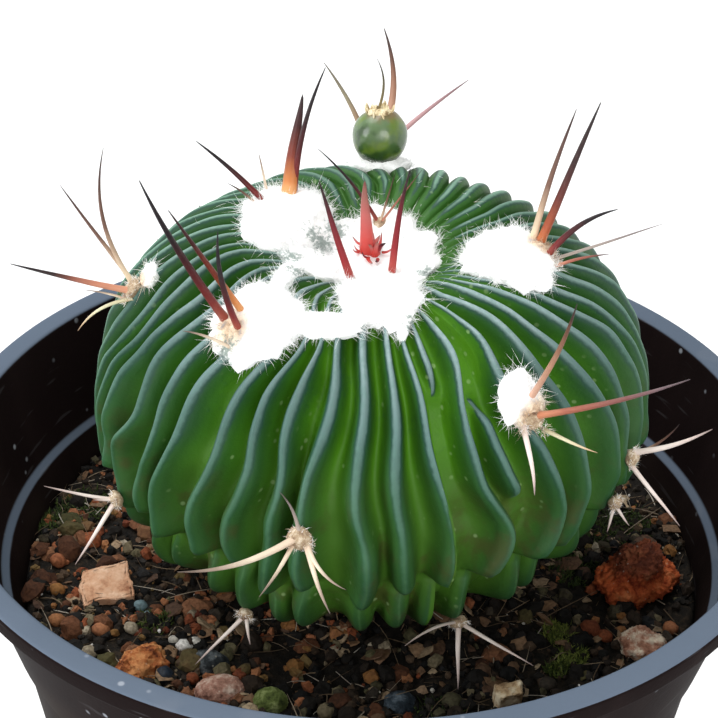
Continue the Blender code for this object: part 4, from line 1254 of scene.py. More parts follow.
def rib_lines(ribs, shares):
    """The ribs' crest azimuths, the sinks of the crests and the depths of the hollows, row by row."""
    grown = smooth_step(0.1, 0.3, shares)
    ending = smooth_step(0.5, 0.64, shares)
    lines = []
    lumps = []
    hollows = []
    for number, (crest, _, end) in enumerate(ribs):
        waver = wander(number, 3.1, 11.0, 0.4, shares)
        lump = wander(number, 2.3, 17.0, 2.4, shares)
        hollow = wander(number, 4.7, 13.0, 5.4, shares)
        lean = LOBE_LEAN * rough(number * 1.7, 0.3, 7.4) * smooth_step(end - 0.03, end + 0.06, shares)
        sway = WAVER * waver * grown * (1.0 + 0.8 * ending)
        lines.append(smooth_value(CREST_SHARES, crest, shares) + sway + lean)
        lumps.append(CREST_LUMP * (0.5 + lump) * grown * (1.0 + 1.3 * ending))
        hollows.append(1.0 + VALLEY_LUMP * (hollow - 0.4) * grown)
    return lines, lumps, hollows


def body_columns(ribs, shares):
    """The body's grid by columns: azimuth, sink under the crest line, ridge and crest values."""
    radii, _ = profile_points(shares)
    valley = smooth_value(VALLEY_SHARES, VALLEY_DEPTHS, shares)
    crest_half = smooth_value(CREST_WIDTH_SHARES, CREST_HALF_WIDTH, shares)
    ending = smooth_step(0.5, 0.64, shares)
    lines, lumps, hollows = rib_lines(ribs, shares)
    columns = []
    for number, rib in enumerate(ribs):
        after = (number + 1) % len(ribs)
        turn = 360.0 if after == 0 else 0.0
        width = lines[after] + turn - lines[number]
        half = np.maximum(np.radians(width) * np.maximum(radii, 0.3) * 0.5, 0.05)
        facing = max(0.0, math.cos(math.radians(lines[number][FACING_ROW] - BACK_FACING))) ** 1.5
        crest_width = crest_half * (1.0 + BACK_ROUNDING * facing)
        part = np.minimum(CREST_PART + BACK_CREST_PART * facing + END_CREST_PART * ending, 0.8)
        filling = 1.0 - BACK_FILLING * facing * smooth_step(0.45, 0.3, shares)
        floor = valley * np.minimum(1.0, 2.0 * half / NARROW_VALLEY) * hollows[number] * filling
        here = valley * (1.0 - crest_rise(rib, shares)) + lumps[number]
        there = valley * (1.0 - crest_rise(ribs[after], shares)) + lumps[after]
        floor = np.maximum(floor, np.minimum(here, there))
        for sink, flipped in ((here, False), (there, True)):
            drop = np.maximum(floor - sink, 0.0)
            across, down, near = rib_section(half, drop, crest_width, part)
            level = sink[:, None] + down
            ridge = (floor[:, None] - level) / np.maximum(valley[:, None], 0.8)
            near = near * smooth_step(0.25, 0.9, drop)[:, None]
            places = 1.0 - 0.5 * across if flipped else 0.5 * across
            steps = across.shape[1]
            for k in range(steps - 2, 0, -1) if flipped else range(steps):
                columns.append((lines[number] + places[:, k] * width, level[:, k], ridge[:, k], near[:, k]))
    return (np.array([column[k] for column in columns]) for k in range(4))


def make_body(look):
    """The ribbed ball: rounded crests and broad valleys on the same lines as the CAD body's."""
    shares = FIRST_ROW_SHARE + (1.0 - FIRST_ROW_SHARE) * np.linspace(0.0, 1.0, BODY_ROWS)
    ribs = []
    for k, (crest, start, end) in enumerate(RIBS):
        ribs.append((crest, start, end + END_SWING * math.sin(2.6 * k)))
    azimuths, sinks, ridges, nears = body_columns(ribs, shares)
    count = len(azimuths)
    rows = BODY_ROWS + 3
    points = body_points(azimuths, shares[None, :], -sinks) * MM
    neck = turned_points(azimuths[:, -1], NECK_RADIUS, NECK_HEIGHT) * MM
    bm = bmesh.new()
    bmesh.ops.create_grid(bm, x_segments=count, y_segments=rows - 1, size=1.0)
    layers = [bm.verts.layers.float.new(name) for name in ("ridge", "crest", "age")]
    for vert in bm.verts:
        column = round((vert.co.x + 1.0) * 0.5 * count) % count
        row = round((vert.co.y + 1.0) * 0.5 * (rows - 1))
        level = min(max(row - 1, 0), BODY_ROWS - 1)
        if row == 0:
            vert.co = body_points(0.0, 0.0) * MM
        elif row <= BODY_ROWS:
            vert.co = points[column, level]
        elif row == rows - 2:
            vert.co = neck[column]
        else:
            vert.co = Vector((*neck_centre(), POT_HEIGHT + ROOT_TIP)) * MM
        vert[layers[0]] = ridges[column, level]
        vert[layers[1]] = nears[column, level]
        vert[layers[2]] = shares[level]
    bmesh.ops.remove_doubles(bm, verts=bm.verts, dist=1e-6)
    show(object_from(bm, "ribbed_body"), look, ["cactus_body"], "skin")


# Wool


def pad_maps():
    """Each pad as its node, the map from its unit circle to the body, its rise and its half sizes."""
    pads = []

    def plan_map(pad):
        (centre_x, centre_y), (along, across), turn, rise = pad
        c = math.cos(math.radians(turn))
        s = math.sin(math.radians(turn))

        def place_of(x, y):
            u = x * along
            v = y * across
            return plan_places(centre_x + u * c - v * s, centre_y + u * s + v * c)

        return place_of, rise, (along, across)

    def side_map(pad):
        (azimuth, share), (along, across), rise = pad
        radius = float(profile_points(share)[0])

        def place_of(x, y):
            return azimuth + np.degrees(x * along / radius), share + y * across / PROFILE_LENGTH

        return place_of, rise, (along, across)

    for name, group in PLAN_PADS.items():
        pads.append((name, [plan_map(pad) for pad in group]))
    side_pads = dict(SIDE_PADS)
    for number, (azimuth, share, _) in enumerate(BACK_AREOLES, 1):
        if share < YOUNG_SHARE:
            side_pads[f"back_{number}"] = ((azimuth, share - BACK_PAD_STEP), BACK_PAD_SIZE, BACK_PAD_RISE)
    for name, pad in side_pads.items():
        pads.append((name, [side_map(pad)]))
    return pads


def pad_places(place_of, rise, unit, extra=0.0):
    """Where points of the unit sphere lie on a tufted pad."""
    made = []
    for x, y, z in unit:
        edge = 1.0 + PAD_EDGE * rough(x, y, rise, 1.9)
        edge += 0.16 * rough(x, y, 0.3 * z + rise, 4.6) + 0.07 * rough(x, y, z, 10.0)
        tuft = 1.0 + PAD_TUFT * rough(x, y, 3 * rise, 2.6)
        tuft += 0.16 * rough(x, y, z + rise, 6.5)
        azimuth, share = place_of(x * edge, y * edge)
        out = rise * WOOL_FLATNESS * tuft * z if z > 0 else PAD_SINK * z
        made.append((float(azimuth), float(share), out + extra))
    azimuths, shares, outs = np.array(made).T
    return body_points(azimuths, shares, outs), body_normals(azimuths, shares)


def spine_roots():
    return np.array([body_points(*areole[0]) for areole in AREOLES.values()])


def stain_at(points):
    """How near each point is to a spine's root, where wool is tan."""
    apart = np.linalg.norm(points[:, None] - spine_roots()[None], axis=2)
    stained = [name in STAINED_AREOLES for name in AREOLES]
    apart = np.where(np.array(stained)[None], apart, apart * 3.0)
    return np.exp(-((apart.min(axis=1) / STAIN_REACH) ** 2))


def thin_at(points):
    """How near each point is to a place where the ribs show through the wool."""
    near = np.zeros(len(points))
    for (x, y), reach in THIN_PLACES:
        apart = np.hypot(points[:, 0] - BODY_CENTRE[0] - x, points[:, 1] - BODY_CENTRE[1] - y)
        near = np.maximum(near, np.exp(-((apart / reach) ** 2)))
    return near


def make_pad(place_of, rise):
    """A lumpy pad of wool."""
    bm = bmesh.new()
    bmesh.ops.create_uvsphere(bm, u_segments=48, v_segments=24, radius=1.0)
    pad = object_from(bm, "pad")
    corners, _ = pad_places(place_of, rise, corners_of(pad.data))
    set_corners(pad.data, corners * MM)
    set_values(pad.data, "stain", stain_at(corners))
    set_values(pad.data, "thin", thin_at(corners))
    return pad


def make_fleece(place_of, rise, count):
    """Fine fibres that stand on a pad and fall outwards at its edge."""
    turn = chance.uniform(0.0, math.tau, count)
    reach = chance.uniform(0.0, 1.0, count) ** 0.33
    dome = np.stack((reach * np.cos(turn), reach * np.sin(turn), np.sqrt(1.0 - reach**2)), -1)
    roots, normals = pad_places(place_of, rise, dome, -0.15)
    spread = off_normals(roots - roots.mean(axis=0), normals)
    spread /= np.linalg.norm(spread, axis=1, keepdims=True) + 1e-6
    swirl = chance.normal(size=(count, 3))
    edge = reach[:, None]
    ahead = unit(normals * (0.5 - 0.25 * edge**3) + spread * edge**2 * 0.7 + 0.65 * swirl)
    length = chance.uniform(0.35, 1.1, count) * (0.65 + 0.85 * reach**5)
    bend = chance.normal(size=(count, 3)) * 0.5 * length[:, None]
    bend -= normals * 0.22 * edge**3
    template = rod(((0.0, 1.0), (0.55, 0.8), (1.0, 0.0)))
    fleece = strew(template, "fleece", roots, ahead * length[:, None], FIBRE_HALF_WIDTH, bend)
    mark_copies(fleece, "stain", stain_at(roots))
    mark_copies(fleece, "thin", thin_at(roots))
    return fleece


def make_wool(name, group, look):
    """Pads of wool with their fleece."""
    pieces = []
    for place_of, rise, (along, across) in group:
        pieces.append(make_pad(place_of, rise))
        pieces.append(make_fleece(place_of, rise, int(FIBRES_PER_SQUARE * math.pi * along * across)))
    show(join(pieces, f"fleece_{name}"), look, [f"wool_{name}"], "wool")


def make_stray_fibres(look):
    """Single hairs that lie on the ribs round the crown."""
    count = STRAY_HAIRS
    azimuth = chance.uniform(0.0, 360.0, count)
    share = 0.08 + 0.26 * chance.beta(1.4, 3.6, count)
    roots = body_points(azimuth, share, 0.15)
    ahead = unit(off_normals(chance.normal(size=(count, 3)), body_normals(azimuth, share), 0.8))
    length = chance.uniform(0.4, 1.5, count)[:, None]
    bend = chance.normal(size=(count, 3)) * 0.5
    template = rod(((0.0, 0.6), (0.3, 1.0), (0.65, 0.8), (1.0, 0.0)))
    hairs = strew(template, "stray_hairs", roots, ahead * length, HAIR_HALF_WIDTH, bend)
    mark_copies(hairs, "stain", chance.uniform(0.0, 0.6, count))
    show(hairs, look, (), "wool")


# Spines


def make_spine(base, spine, look, root=None):
    """A smooth tapered spine on the CAD spine's line, with its share of the length as an attribute."""
    heading, rise, length, bow, sway, width = spine[:6]
    ahead = direction(heading, rise)
    upward = direction(heading, rise + 90)
    across = np.cross(ahead, upward)
    root = base if root is None else root
    reach = base + ahead * length - root
    shares, sizes = zip(*SPINE_TAPER)
    blunt = 1.0 - 0.25 * width / length
    rings = []
    for k in range(SPINE_RINGS):
        share = shares[0] + (blunt - shares[0]) * k / (SPINE_RINGS - 1)
        size = float(smooth_value(shares, sizes, share))
        rings.append((share, size * (1.0 + 0.16 * math.exp(-((share / 0.06) ** 2)))))
    rings.append((1.0, 0.0))
    made = rod(rings, SPINE_SIDES)
    local = corners_of(made.data)
    share = local[:, 2:3]
    twist = 0.04 * np.sin(7.0 * share + heading) * width
    centre = root + reach * share - (upward * bow + across * sway) * 4 * share * (1 - share) + across * twist
    wide = width * (0.5 if width > 0.85 else 0.41)
    thin = wide * (1.0 - 2.0 * SPINE_FLATNESS)
    corners = centre + across * local[:, 0:1] * wide + upward * local[:, 1:2] * thin
    set_corners(made.data, corners * MM)
    set_values(made.data, "along", np.clip(share, 0.0, 1.0))
    made.data.materials.append(look)
    return made


def areole_base(azimuth, share):
    lift = surface_lift(azimuth, share) if share > LOW_SHARE else 0.0
    return body_points(azimuth, share, lift + CUSHION_LIFT)


def make_cushion(azimuth, share, size, look):
    """The woody cushion under a cluster, with a rough felt."""
    bm = bmesh.new()
    bmesh.ops.create_icosphere(bm, subdivisions=3, radius=1.0)
    for vert in bm.verts:
        vert.co *= 1.0 + 0.16 * noise.noise(vert.co * 2.2 + Vector((azimuth, share, 0.0)))
    facing = Vector(body_normals(azimuth, share)).to_track_quat("Z", "Y").to_matrix().to_4x4()
    bm.transform(moved(areole_base(azimuth, share)) @ facing @ sized(size, size, CUSHION_RISE))
    made = object_from(bm, "cushion")
    made.data.materials.append(look)
    return made


def make_felt(base, normal, size, count, look):
    """Short fibres that stand round the roots of spines."""
    spread = chance.normal(size=(count, 3))
    spread = unit(spread - normal * (spread @ normal)[:, None])
    reach = np.sqrt(chance.uniform(0.02, 1.0, count))[:, None] * size * 0.95
    roots = base + spread * reach + normal * (CUSHION_RISE * 0.4 * (1.0 - reach / size))
    ahead = unit(normal * 0.6 + spread * 0.6 + 0.45 * chance.normal(size=(count, 3)))
    length = chance.uniform(0.25, 0.7, count)[:, None]
    bend = chance.normal(size=(count, 3)) * 0.2
    template = rod(((0.0, 1.0), (0.5, 0.8), (1.0, 0.0)))
    felt = strew(template, "felt", roots, ahead * length, FELT_HALF_WIDTH, bend)
    mark_copies(felt, "stain", chance.uniform(0.1, 1.0, count))
    felt.data.materials.append(look)
    return felt


def make_crown_buds(look, dry):
    """The red bases of new spines in the middle of the crown, in a ring of dry scraps."""
    pieces = []
    for k in range(CROWN_BUDS):
        turn = math.radians(200 + 51 * k)
        heading = math.degrees(turn)
        if k < RED_BUDS:
            ring = 0.4 + 0.12 * (k % 4)
            bud = (heading, 54 + 9 * (k % 3), 1.5 + 0.3 * (k % 3), -0.2, 0, 0.9)
        else:
            ring = 1.5 + 0.25 * math.sin(5.0 * k)
            bud = (heading + 40 * (k % 3 - 1), 14 + 12 * (k % 4), 1.2 + 0.25 * (k % 3), 0.2, 0, 0.5)
        x, y = np.array(BUD_CENTRE) + np.array((math.cos(turn), math.sin(turn))) * ring
        base = body_points(*plan_places(x, y), 1.5)
        pieces.append(make_spine(base, bud, look if k % 3 else dry))
    return pieces


def all_areoles():
    areoles = dict(AREOLES)
    for number, (azimuth, share, growth) in enumerate(BACK_AREOLES, 1):
        twist = 9 * math.sin(2.4 * number)
        colours = YOUNG_COLOURS if share < YOUNG_SHARE else OLD_COLOURS
        spines = []
        for (turn, rise, length, *bends), colour in zip(BACK_SPINES, colours):
            heading = azimuth + turn + twist
            spines.append((heading, rise + 28 * (0.5 - share), length * growth, *bends, colour, (0, 0)))
        areoles[f"back_{number}"] = ((azimuth, share), spines)
    return areoles


def make_clusters(looks):
    for name, ((azimuth, share), spines) in all_areoles().items():
        size = CUSHION_SIZE + CUSHION_SIZE_PER_SPINE * len(spines)
        base = areole_base(azimuth, share)
        normal = body_normals(azimuth, share)
        felted = not name.startswith("crown")
        if name == "left":
            spines = (*spines, SHORT_SPINE)
        pieces = []
        for spine in spines:
            round_shift, down_shift = spine[7]
            azimuth_of_root = azimuth + math.degrees(round_shift / float(profile_points(share)[0]))
            root = areole_base(azimuth_of_root, share + down_shift / PROFILE_LENGTH)
            if round_shift == 0 and down_shift == 0:
                root = base
            pieces.append(make_spine(base, spine, looks[spine[6]], root))
            if felted:
                pieces.append(make_felt(root, normal, ROOT_FELT_SIZE, ROOT_FELT_FIBRES, looks["wool"]))
        pieces.append(make_cushion(azimuth, share, size, looks["cushion"]))
        if felted:
            pieces.append(make_felt(base, normal, size, CUSHION_FIBRES, looks["wool"]))
        if name == "crown":
            pieces += make_crown_buds(looks["young"], looks["crimson"])
        cluster = join(pieces, f"cluster_{name}")
        show(cluster, None, [f"spines_{name}"], "old_spine" if share > YOUNG_SHARE else "young_spine")


# Fruit


def make_fruit(look):
    """The young fruit, faintly lobed; gives its centre."""
    centre = np.array(FRUIT_PLACE) + (0.0, 0.0, POT_HEIGHT)
    bm = bmesh.new()
    bmesh.ops.create_uvsphere(bm, u_segments=48, v_segments=32, radius=1.0)
    for vert in bm.verts:
        turn = math.atan2(vert.co.y, vert.co.x)
        vert.co *= 1.0 + 0.012 * math.sin(5 * turn) * (1.0 - vert.co.z**2) + 0.02 * rough(*vert.co, 2.0)
    fruit = object_from(bm, "green_fruit")
    local = corners_of(fruit.data)
    set_values(fruit.data, "height", (local[:, 2] + 1.0) * 0.5)
    set_corners(fruit.data, (centre + local * FRUIT_RADIUS * (1.0, 1.0, FRUIT_STRETCH)) * MM)
    show(fruit, look, ["fruit"], "fruit")
    return centre


def flower_scales(top, look):
    """Papery scales that stand in a ring and curl inwards."""
    count = FLOWER_SCALES
    turn = chance.uniform(0.0, math.tau, count)
    reach = chance.uniform(0.35, 1.0, count) * REMAINS_RADIUS
    roots = top + np.stack((reach * np.cos(turn), reach * np.sin(turn), 0.35 - 0.32 * reach), -1)
    ahead = np.stack((np.cos(turn) * 0.5, np.sin(turn) * 0.5, 0.9 + 0.0 * turn), -1)
    ahead += 0.25 * chance.normal(size=(count, 3))
    ahead *= chance.uniform(0.8, 1.5, count)[:, None]
    curl = np.stack((-np.cos(turn) * 0.5, -np.sin(turn) * 0.5, -0.2 + 0.0 * turn), -1)
    scale = rod(((0.0, 0.8), (0.35, 1.0), (0.75, 0.7), (1.0, 0.0)), 6)
    scales = strew(scale, "scales", roots, ahead, SCALE_HALF_WIDTH, curl, 0.12, thin=0.3)
    scales.data.materials.append(look)
    return scales


def make_flower(centre, dried, dry):
    """The dried flower: its disc, its scales and the long style."""
    top = centre + (0.0, 0.0, FRUIT_RADIUS * FRUIT_STRETCH - 0.6)
    scales = flower_scales(top, dried)
    bm = bmesh.new()
    bmesh.ops.create_uvsphere(bm, u_segments=24, v_segments=12, radius=1.0)
    for vert in bm.verts:
        x, y, z = (2.6 * side for side in vert.co)
        vert.co *= 1.0 + 0.2 * rough(x + 3.0, y - 3.0, z + 0.7 * 3.0)
    bm.transform(moved(top) @ sized(REMAINS_RADIUS, REMAINS_RADIUS, REMAINS_HEIGHT * 0.6))
    disc = object_from(bm, "disc")
    disc.data.materials.append(dried)
    style = make_spine(top + (-0.3, 0.0, 0.5), (110, 82, STYLE_LENGTH, 0, -0.8, 0.5), dry)
    show(join([scales, disc, style], "dried_flower"), None, ["flower_remains"], "dried_flower")


# Pot and soil


def wall_radius(height, inner=False):
    """Radius of the lower wall at a height over the foot."""
    share = height / (POT_HEIGHT - COLLAR_BOTTOM_DEPTH)
    outer = FOOT_RADIUS + share * (COLLAR_BOTTOM_RADIUS - STEP_WIDTH - FOOT_RADIUS)
    return outer - WALL if inner else outer


def inner_radius(height):
    """Radius of the pot's inner wall at a height, between the ledge and the floor."""
    collar_bottom = POT_HEIGHT - COLLAR_BOTTOM_DEPTH
    if height > collar_bottom:
        low = wall_radius(collar_bottom, inner=True)
        return low + (height - collar_bottom) / (COLLAR_BOTTOM_DEPTH - LEDGE_DEPTH) * (LEDGE_RADIUS - low)
    return wall_radius(height, inner=True)


def turned(profile, steps, name):
    """A closed turned solid from a closed outline of radii and heights."""
    bm = bmesh.new()
    verts = [bm.verts.new((radius * MM, 0, height * MM)) for radius, height in profile]
    edges = [bm.edges.new((a, b)) for a, b in zip(verts, verts[1:] + verts[:1])]
    bmesh.ops.spin(
        bm,
        geom=verts + edges,
        cent=(0, 0, 0),
        axis=(0, 0, 1),
        angle=math.tau,
        steps=steps,
        use_merge=True,
    )
    bmesh.ops.remove_doubles(bm, verts=bm.verts, dist=1e-6)
    return object_from(bm, name)


def rounded(profile, corners):
    """The outline with the named corners cut into three, for soft edges."""
    made = []
    for number, (radius, height) in enumerate(profile):
        if number not in corners:
            made.append((radius, height))
            continue
        before = Vector(profile[number - 1])
        after = Vector(profile[(number + 1) % len(profile)])
        corner = Vector((radius, height))
        soft = corners[number]
        start = corner + (before - corner).normalized() * soft
        end = corner + (after - corner).normalized() * soft
        for t in (0.0, 0.25, 0.5, 0.75, 1.0):
            made.append(tuple(start * (1 - t) ** 2 + corner * 2 * t * (1 - t) + end * t * t))
    return made


def make_pot(look):
    collar_bottom = POT_HEIGHT - COLLAR_BOTTOM_DEPTH
    rim_bottom = POT_HEIGHT - RIM_THICKNESS
    ledge = POT_HEIGHT - LEDGE_DEPTH
    floor_top = FOOT_RISE + FLOOR_THICKNESS
    profile = [
        (0.0, FOOT_RISE),
        (FOOT_RADIUS - FOOT_RING_WIDTH - 1.2, FOOT_RISE),
        (FOOT_RADIUS - FOOT_RING_WIDTH, 0.0),
        (FOOT_RADIUS, 0.0),
        (wall_radius(collar_bottom), collar_bottom - 1.0),
        (COLLAR_BOTTOM_RADIUS, collar_bottom),
        (COLLAR_TOP_RADIUS, rim_bottom - 0.6),
        (RIM_RADIUS - 0.3, rim_bottom),
        (RIM_RADIUS, POT_HEIGHT),
        (RIM_INNER_RADIUS, POT_HEIGHT),
        (LEDGE_RADIUS + LEDGE_WIDTH, ledge + 0.4),
        (LEDGE_RADIUS, ledge),
        (wall_radius(collar_bottom, inner=True), collar_bottom),
        (wall_radius(floor_top, inner=True), floor_top),
        (0.0, floor_top),
    ]
    soft = {3: 0.5, 4: 0.2, 5: 0.35, 6: 0.3, 7: 0.35, 8: 0.55, 9: 0.5, 10: 0.4, 11: 0.3, 13: 1.0}
    pot = turned(rounded(profile, soft), POT_STEPS, "plastic_pot")
    cut_slots(pot, 3 * floor_top)
    pot.data.shade_smooth()
    pot.data.set_sharp_from_angle(angle=math.radians(SHARP_ANGLE))
    show(pot, look, ["pot"], "pot_plastic")


def cut_slots(pot, depth):
    """Cuts the drain slots through the floor."""
    tools = bpy.data.collections.new("slots")
    bpy.context.scene.collection.children.link(tools)
    for number in range(SLOT_COUNT):
        bm = bmesh.new()
        turn = Matrix.Rotation(math.tau * number / SLOT_COUNT, 4, "Z")
        place = turn @ Matrix.Translation((SLOT_CENTRE_RADIUS * MM, 0, 0))
        bmesh.ops.create_cube(bm, size=1.0, matrix=place @ sized(SLOT_LENGTH, SLOT_WIDTH, depth))
        slot = object_from(bm, "slot")
        bpy.context.scene.collection.objects.unlink(slot)
        tools.objects.link(slot)
    cut = pot.modifiers.new("Slots", "BOOLEAN")
    cut.operation = "DIFFERENCE"
    cut.operand_type = "COLLECTION"
    cut.collection = tools
    cut.solver = "EXACT"
    mesh = finished_mesh(pot)
    pot.modifiers.clear()
    pot.data = mesh
    for slot in list(tools.objects):
        bpy.data.objects.remove(slot, do_unlink=True)
    bpy.data.collections.remove(tools)


def soil_height(x, y):
    """Height of the lumpy soil top over the foot, as the CAD soil has it."""
    lump = rough(x, y, 3.0, 0.16) + 0.6 * rough(x, y, 9.0, 0.34)
    return POT_HEIGHT - SOIL_DEPTH + SOIL_LUMP * lump


def crumb_height(x, y):
    """The soil's height with its crumbs."""
    fine = abs(rough(x, y, 5.0, 1.1)) * 0.7 + rough(x, y, 1.0, 2.6) * 0.3
    return soil_height(x, y) + 0.75 * fine - 0.1


def make_soil(look):
    top = POT_HEIGHT - SOIL_DEPTH
    floor_top = FOOT_RISE + FLOOR_THICKNESS + 0.3
    collar_bottom = POT_HEIGHT - COLLAR_BOTTOM_DEPTH
    hole_bottom = POT_HEIGHT - ROOT_HOLE_DEPTH
    edge = inner_radius(top) - SOIL_CLEARANCE
    profile = [
        (0.0, floor_top),
        (wall_radius(floor_top, inner=True) - SOIL_CLEARANCE, floor_top),
        (wall_radius(collar_bottom, inner=True) - SOIL_CLEARANCE, collar_bottom),
        (edge, top - 0.6),
    ]
    rings = int((edge - 0.9 - ROOT_HOLE_RADIUS - 3.0) / SOIL_RING_STEP)
    profile += [(edge - 0.5 - SOIL_RING_STEP * k, top) for k in range(rings)]
    profile += [
        (ROOT_HOLE_RADIUS + 0.6, top - 0.2),
        (ROOT_HOLE_RADIUS, top - 1.2),
        (ROOT_HOLE_RADIUS - 1.4, hole_bottom),
        (0.0, hole_bottom),
    ]
    soil = turned(profile, SOIL_STEPS, "peat_soil")
    neck_x, neck_y = neck_centre()
    for vert in soil.data.vertices:
        x, y, z = vert.co / MM
        radius = math.hypot(x, y)
        if z > top - 0.1 and radius > ROOT_HOLE_RADIUS + 1.0:
            vert.co.z = crumb_height(x, y) * MM
        if radius < ROOT_HOLE_RADIUS + 1.0 and z > hole_bottom - 1.0:
            vert.co.x += neck_x * MM
            vert.co.y += neck_y * MM
    show(soil, look, ["soil"], "soil")


def open_places(count, lean=0.0):
    """Places in plan on the bare soil, off the stones and inside the wall; a lean of -1 favours the left."""
    edge = inner_radius(POT_HEIGHT - SOIL_DEPTH) - 0.9
    neck_x, neck_y = neck_centre()
    found = []
    while len(found) < count:
        turn = chance.uniform(0.0, math.tau)
        radius = edge * chance.uniform(0.05, 1.0) ** 0.5
        x = radius * math.cos(turn)
        y = radius * math.sin(turn)
        drawn = chance.uniform(0.0, 1.0)
        patch = 0.5 + 0.9 * rough(x, y, 20.0 * lean, 0.17)
        wanted = patch if lean == 0.0 else smooth_step(-20.0, 24.0, lean * x) * 0.75 + 0.25 * patch
        near = math.hypot(x - neck_x, y - neck_y) < ROOT_HOLE_RADIUS + 2.0
        for _, (stone_x, stone_y), _, half, _, _ in STONES.values():
            near = near or math.hypot(x - stone_x, y - stone_y) < min(half[0], half[1]) * 0.85 + 0.2
        if not near and drawn < wanted:
            found.append((x, y))
    return np.array(found)


def chunk():
    bm = bmesh.new()
    bmesh.ops.create_cube(bm, size=1.5)
    bmesh.ops.bevel(bm, geom=bm.edges[:], offset=0.34, affect="EDGES", segments=1, profile=0.5, material=-1)
    return object_from(bm, "chunk", False)


def crumb(subdivisions=1):
    bm = bmesh.new()
    bmesh.ops.create_icosphere(bm, subdivisions=subdivisions, radius=1.0)
    return object_from(bm, "crumb", False)


def scatter(name, template, count, sizes, look, tint, lift, jitter, flat, lean):
    """Crumbs of one sort, lying on the soil in every turn."""
    spots = open_places(count, lean)
    size = chance.uniform(0.0, 1.0, count) ** 2 * (sizes[1] - sizes[0]) + sizes[0]
    height = np.array([crumb_height(x, y) for x, y in spots]) + size * lift
    centres = np.column_stack((spots, height))
    axis = chance.normal(size=(count, 3))
    axis[:, 2] = np.abs(axis[:, 2]) + (0.0 if flat == 1.0 else 2.0)
    tints = chance.uniform(*tint, count)
    along = unit(axis) * (size * flat * chance.uniform(0.6, 1.1, count))[:, None]
    made = strew(template, name, centres, along, size, None, jitter, tints, chance.uniform(0.7, 1.0), False)
    show(made, look, (), "soil")


def lump():
    return crumb(2)


def make_litter(looks):
    """Grit, crumbs and specks on the soil, and the bits that stand out."""
    forms = {"crumb": crumb, "lump": lump, "chunk": chunk}
    for name, (form, count, sizes, look, *rest) in LITTER.items():
        scatter(name, forms[form](), count, sizes, looks[look], *rest)
    for (x, y), size, tint, look in FOUND_BITS:
        template = lump()
        name = f"bit_{len(bpy.data.objects)}"
        place = np.array([(x, y, crumb_height(x, y) + 0.35 * size)])
        along = np.array([(0.3 * size, 0.2 * size, 0.75 * size)])
        bit = strew(template, name, place, along, size, None, 0.14, np.array([tint]))
        show(bit, looks[look], (), "soil")


def make_fibres(look):
    """Dry root fibres that lie on the soil."""
    count = ROOT_FIBRES
    spots = open_places(count)
    heading = chance.uniform(0.0, 360.0, count)
    rise = chance.normal(6.0, 14.0, count)
    length = chance.uniform(1.5, 6.5, count)
    height = np.array([crumb_height(x, y) for x, y in spots]) + 0.3
    roots = np.column_stack((spots, height))
    bend = chance.normal(size=(count, 3)) * (length * 0.22)[:, None]
    bend[:, 2] = -np.abs(bend[:, 2]) * 0.6
    template = rod(((0.0, 0.7), (0.25, 1.0), (0.5, 0.9), (0.75, 0.7), (1.0, 0.3)))
    ahead = direction(heading, rise) * length[:, None]
    tints = chance.beta(1.1, 1.6, count)
    fibres = strew(template, "root_fibres", roots, ahead, chance.uniform(0.04, 0.1, count), bend, 0.0, tints)
    show(keep_inside(fibres), look, (), "soil")


def keep_inside(obj):
    """Pulls what would reach into the pot's wall back over the soil."""
    corners = corners_of(obj.data) / MM
    edge = inner_radius(POT_HEIGHT - SOIL_DEPTH) - 0.7
    radius = np.hypot(corners[:, 0], corners[:, 1])
    pull = np.minimum(1.0, edge / np.maximum(radius, 1e-6))
    corners[:, 0] *= pull
    corners[:, 1] *= pull
    set_corners(obj.data, corners * MM)
    return obj


def make_moss(look):
    """Cushions of short blades."""
    spots = []
    tints = []
    for (x, y), radius, count, (low, high) in MOSS_PATCHES:
        turn = chance.uniform(0.0, math.tau, count)
        reach = radius * np.sqrt(chance.uniform(0.0, 1.0, count))
        spots.append(np.column_stack((x + reach * np.cos(turn), y + reach * np.sin(turn))))
        tints.append(chance.uniform(low, high, count))
    spots = np.vstack(spots)
    tints = np.concatenate(tints)
    count = len(spots)
    height = np.array([crumb_height(x, y) for x, y in spots])
    roots = np.column_stack((spots, height))
    ahead = direction(chance.uniform(0.0, 360.0, count), chance.uniform(25.0, 85.0, count))
    length = chance.uniform(0.35, 1.0, count)[:, None]
    bend = chance.normal(size=(count, 3)) * 0.25
    template = rod(((0.0, 0.6), (0.4, 1.0), (1.0, 0.0)))
    blades = strew(template, "moss_blades", roots, ahead * length, BLADE_HALF_WIDTH, bend, 0.0, tints, 0.5)
    show(keep_inside(blades), look, (), "soil")


# Stones


def chip_form(bm, seed):
    """A broken plate: a rounded block whose outline is pushed in and out."""
    bmesh.ops.create_cube(bm, size=2.0)
    for vert in bm.verts:
        corner = 2.0 * vert.co.x + vert.co.y
        vert.co.x *= 0.96 + 0.14 * math.sin(1.7 * corner + seed.x)
        vert.co.y *= 0.96 + 0.14 * math.cos(2.3 * corner)
    bmesh.ops.bevel(bm, geom=bm.edges[:], offset=0.13, affect="EDGES", segments=2, profile=0.5, material=-1)
    bmesh.ops.subdivide_edges(bm, edges=bm.edges[:], cuts=14, use_grid_fill=True)
    for vert in bm.verts:
        outline = rough(vert.co.x, vert.co.y, seed.x, 0.9) + 0.5 * rough(vert.co.x, vert.co.y, seed.y, 2.1)
        vert.co.x *= 0.98 + 0.24 * outline
        vert.co.y *= 0.98 - 0.24 * outline
        vert.co.z *= 1.0 + 0.18 * rough(vert.co.x, vert.co.y, seed.z, 1.4)


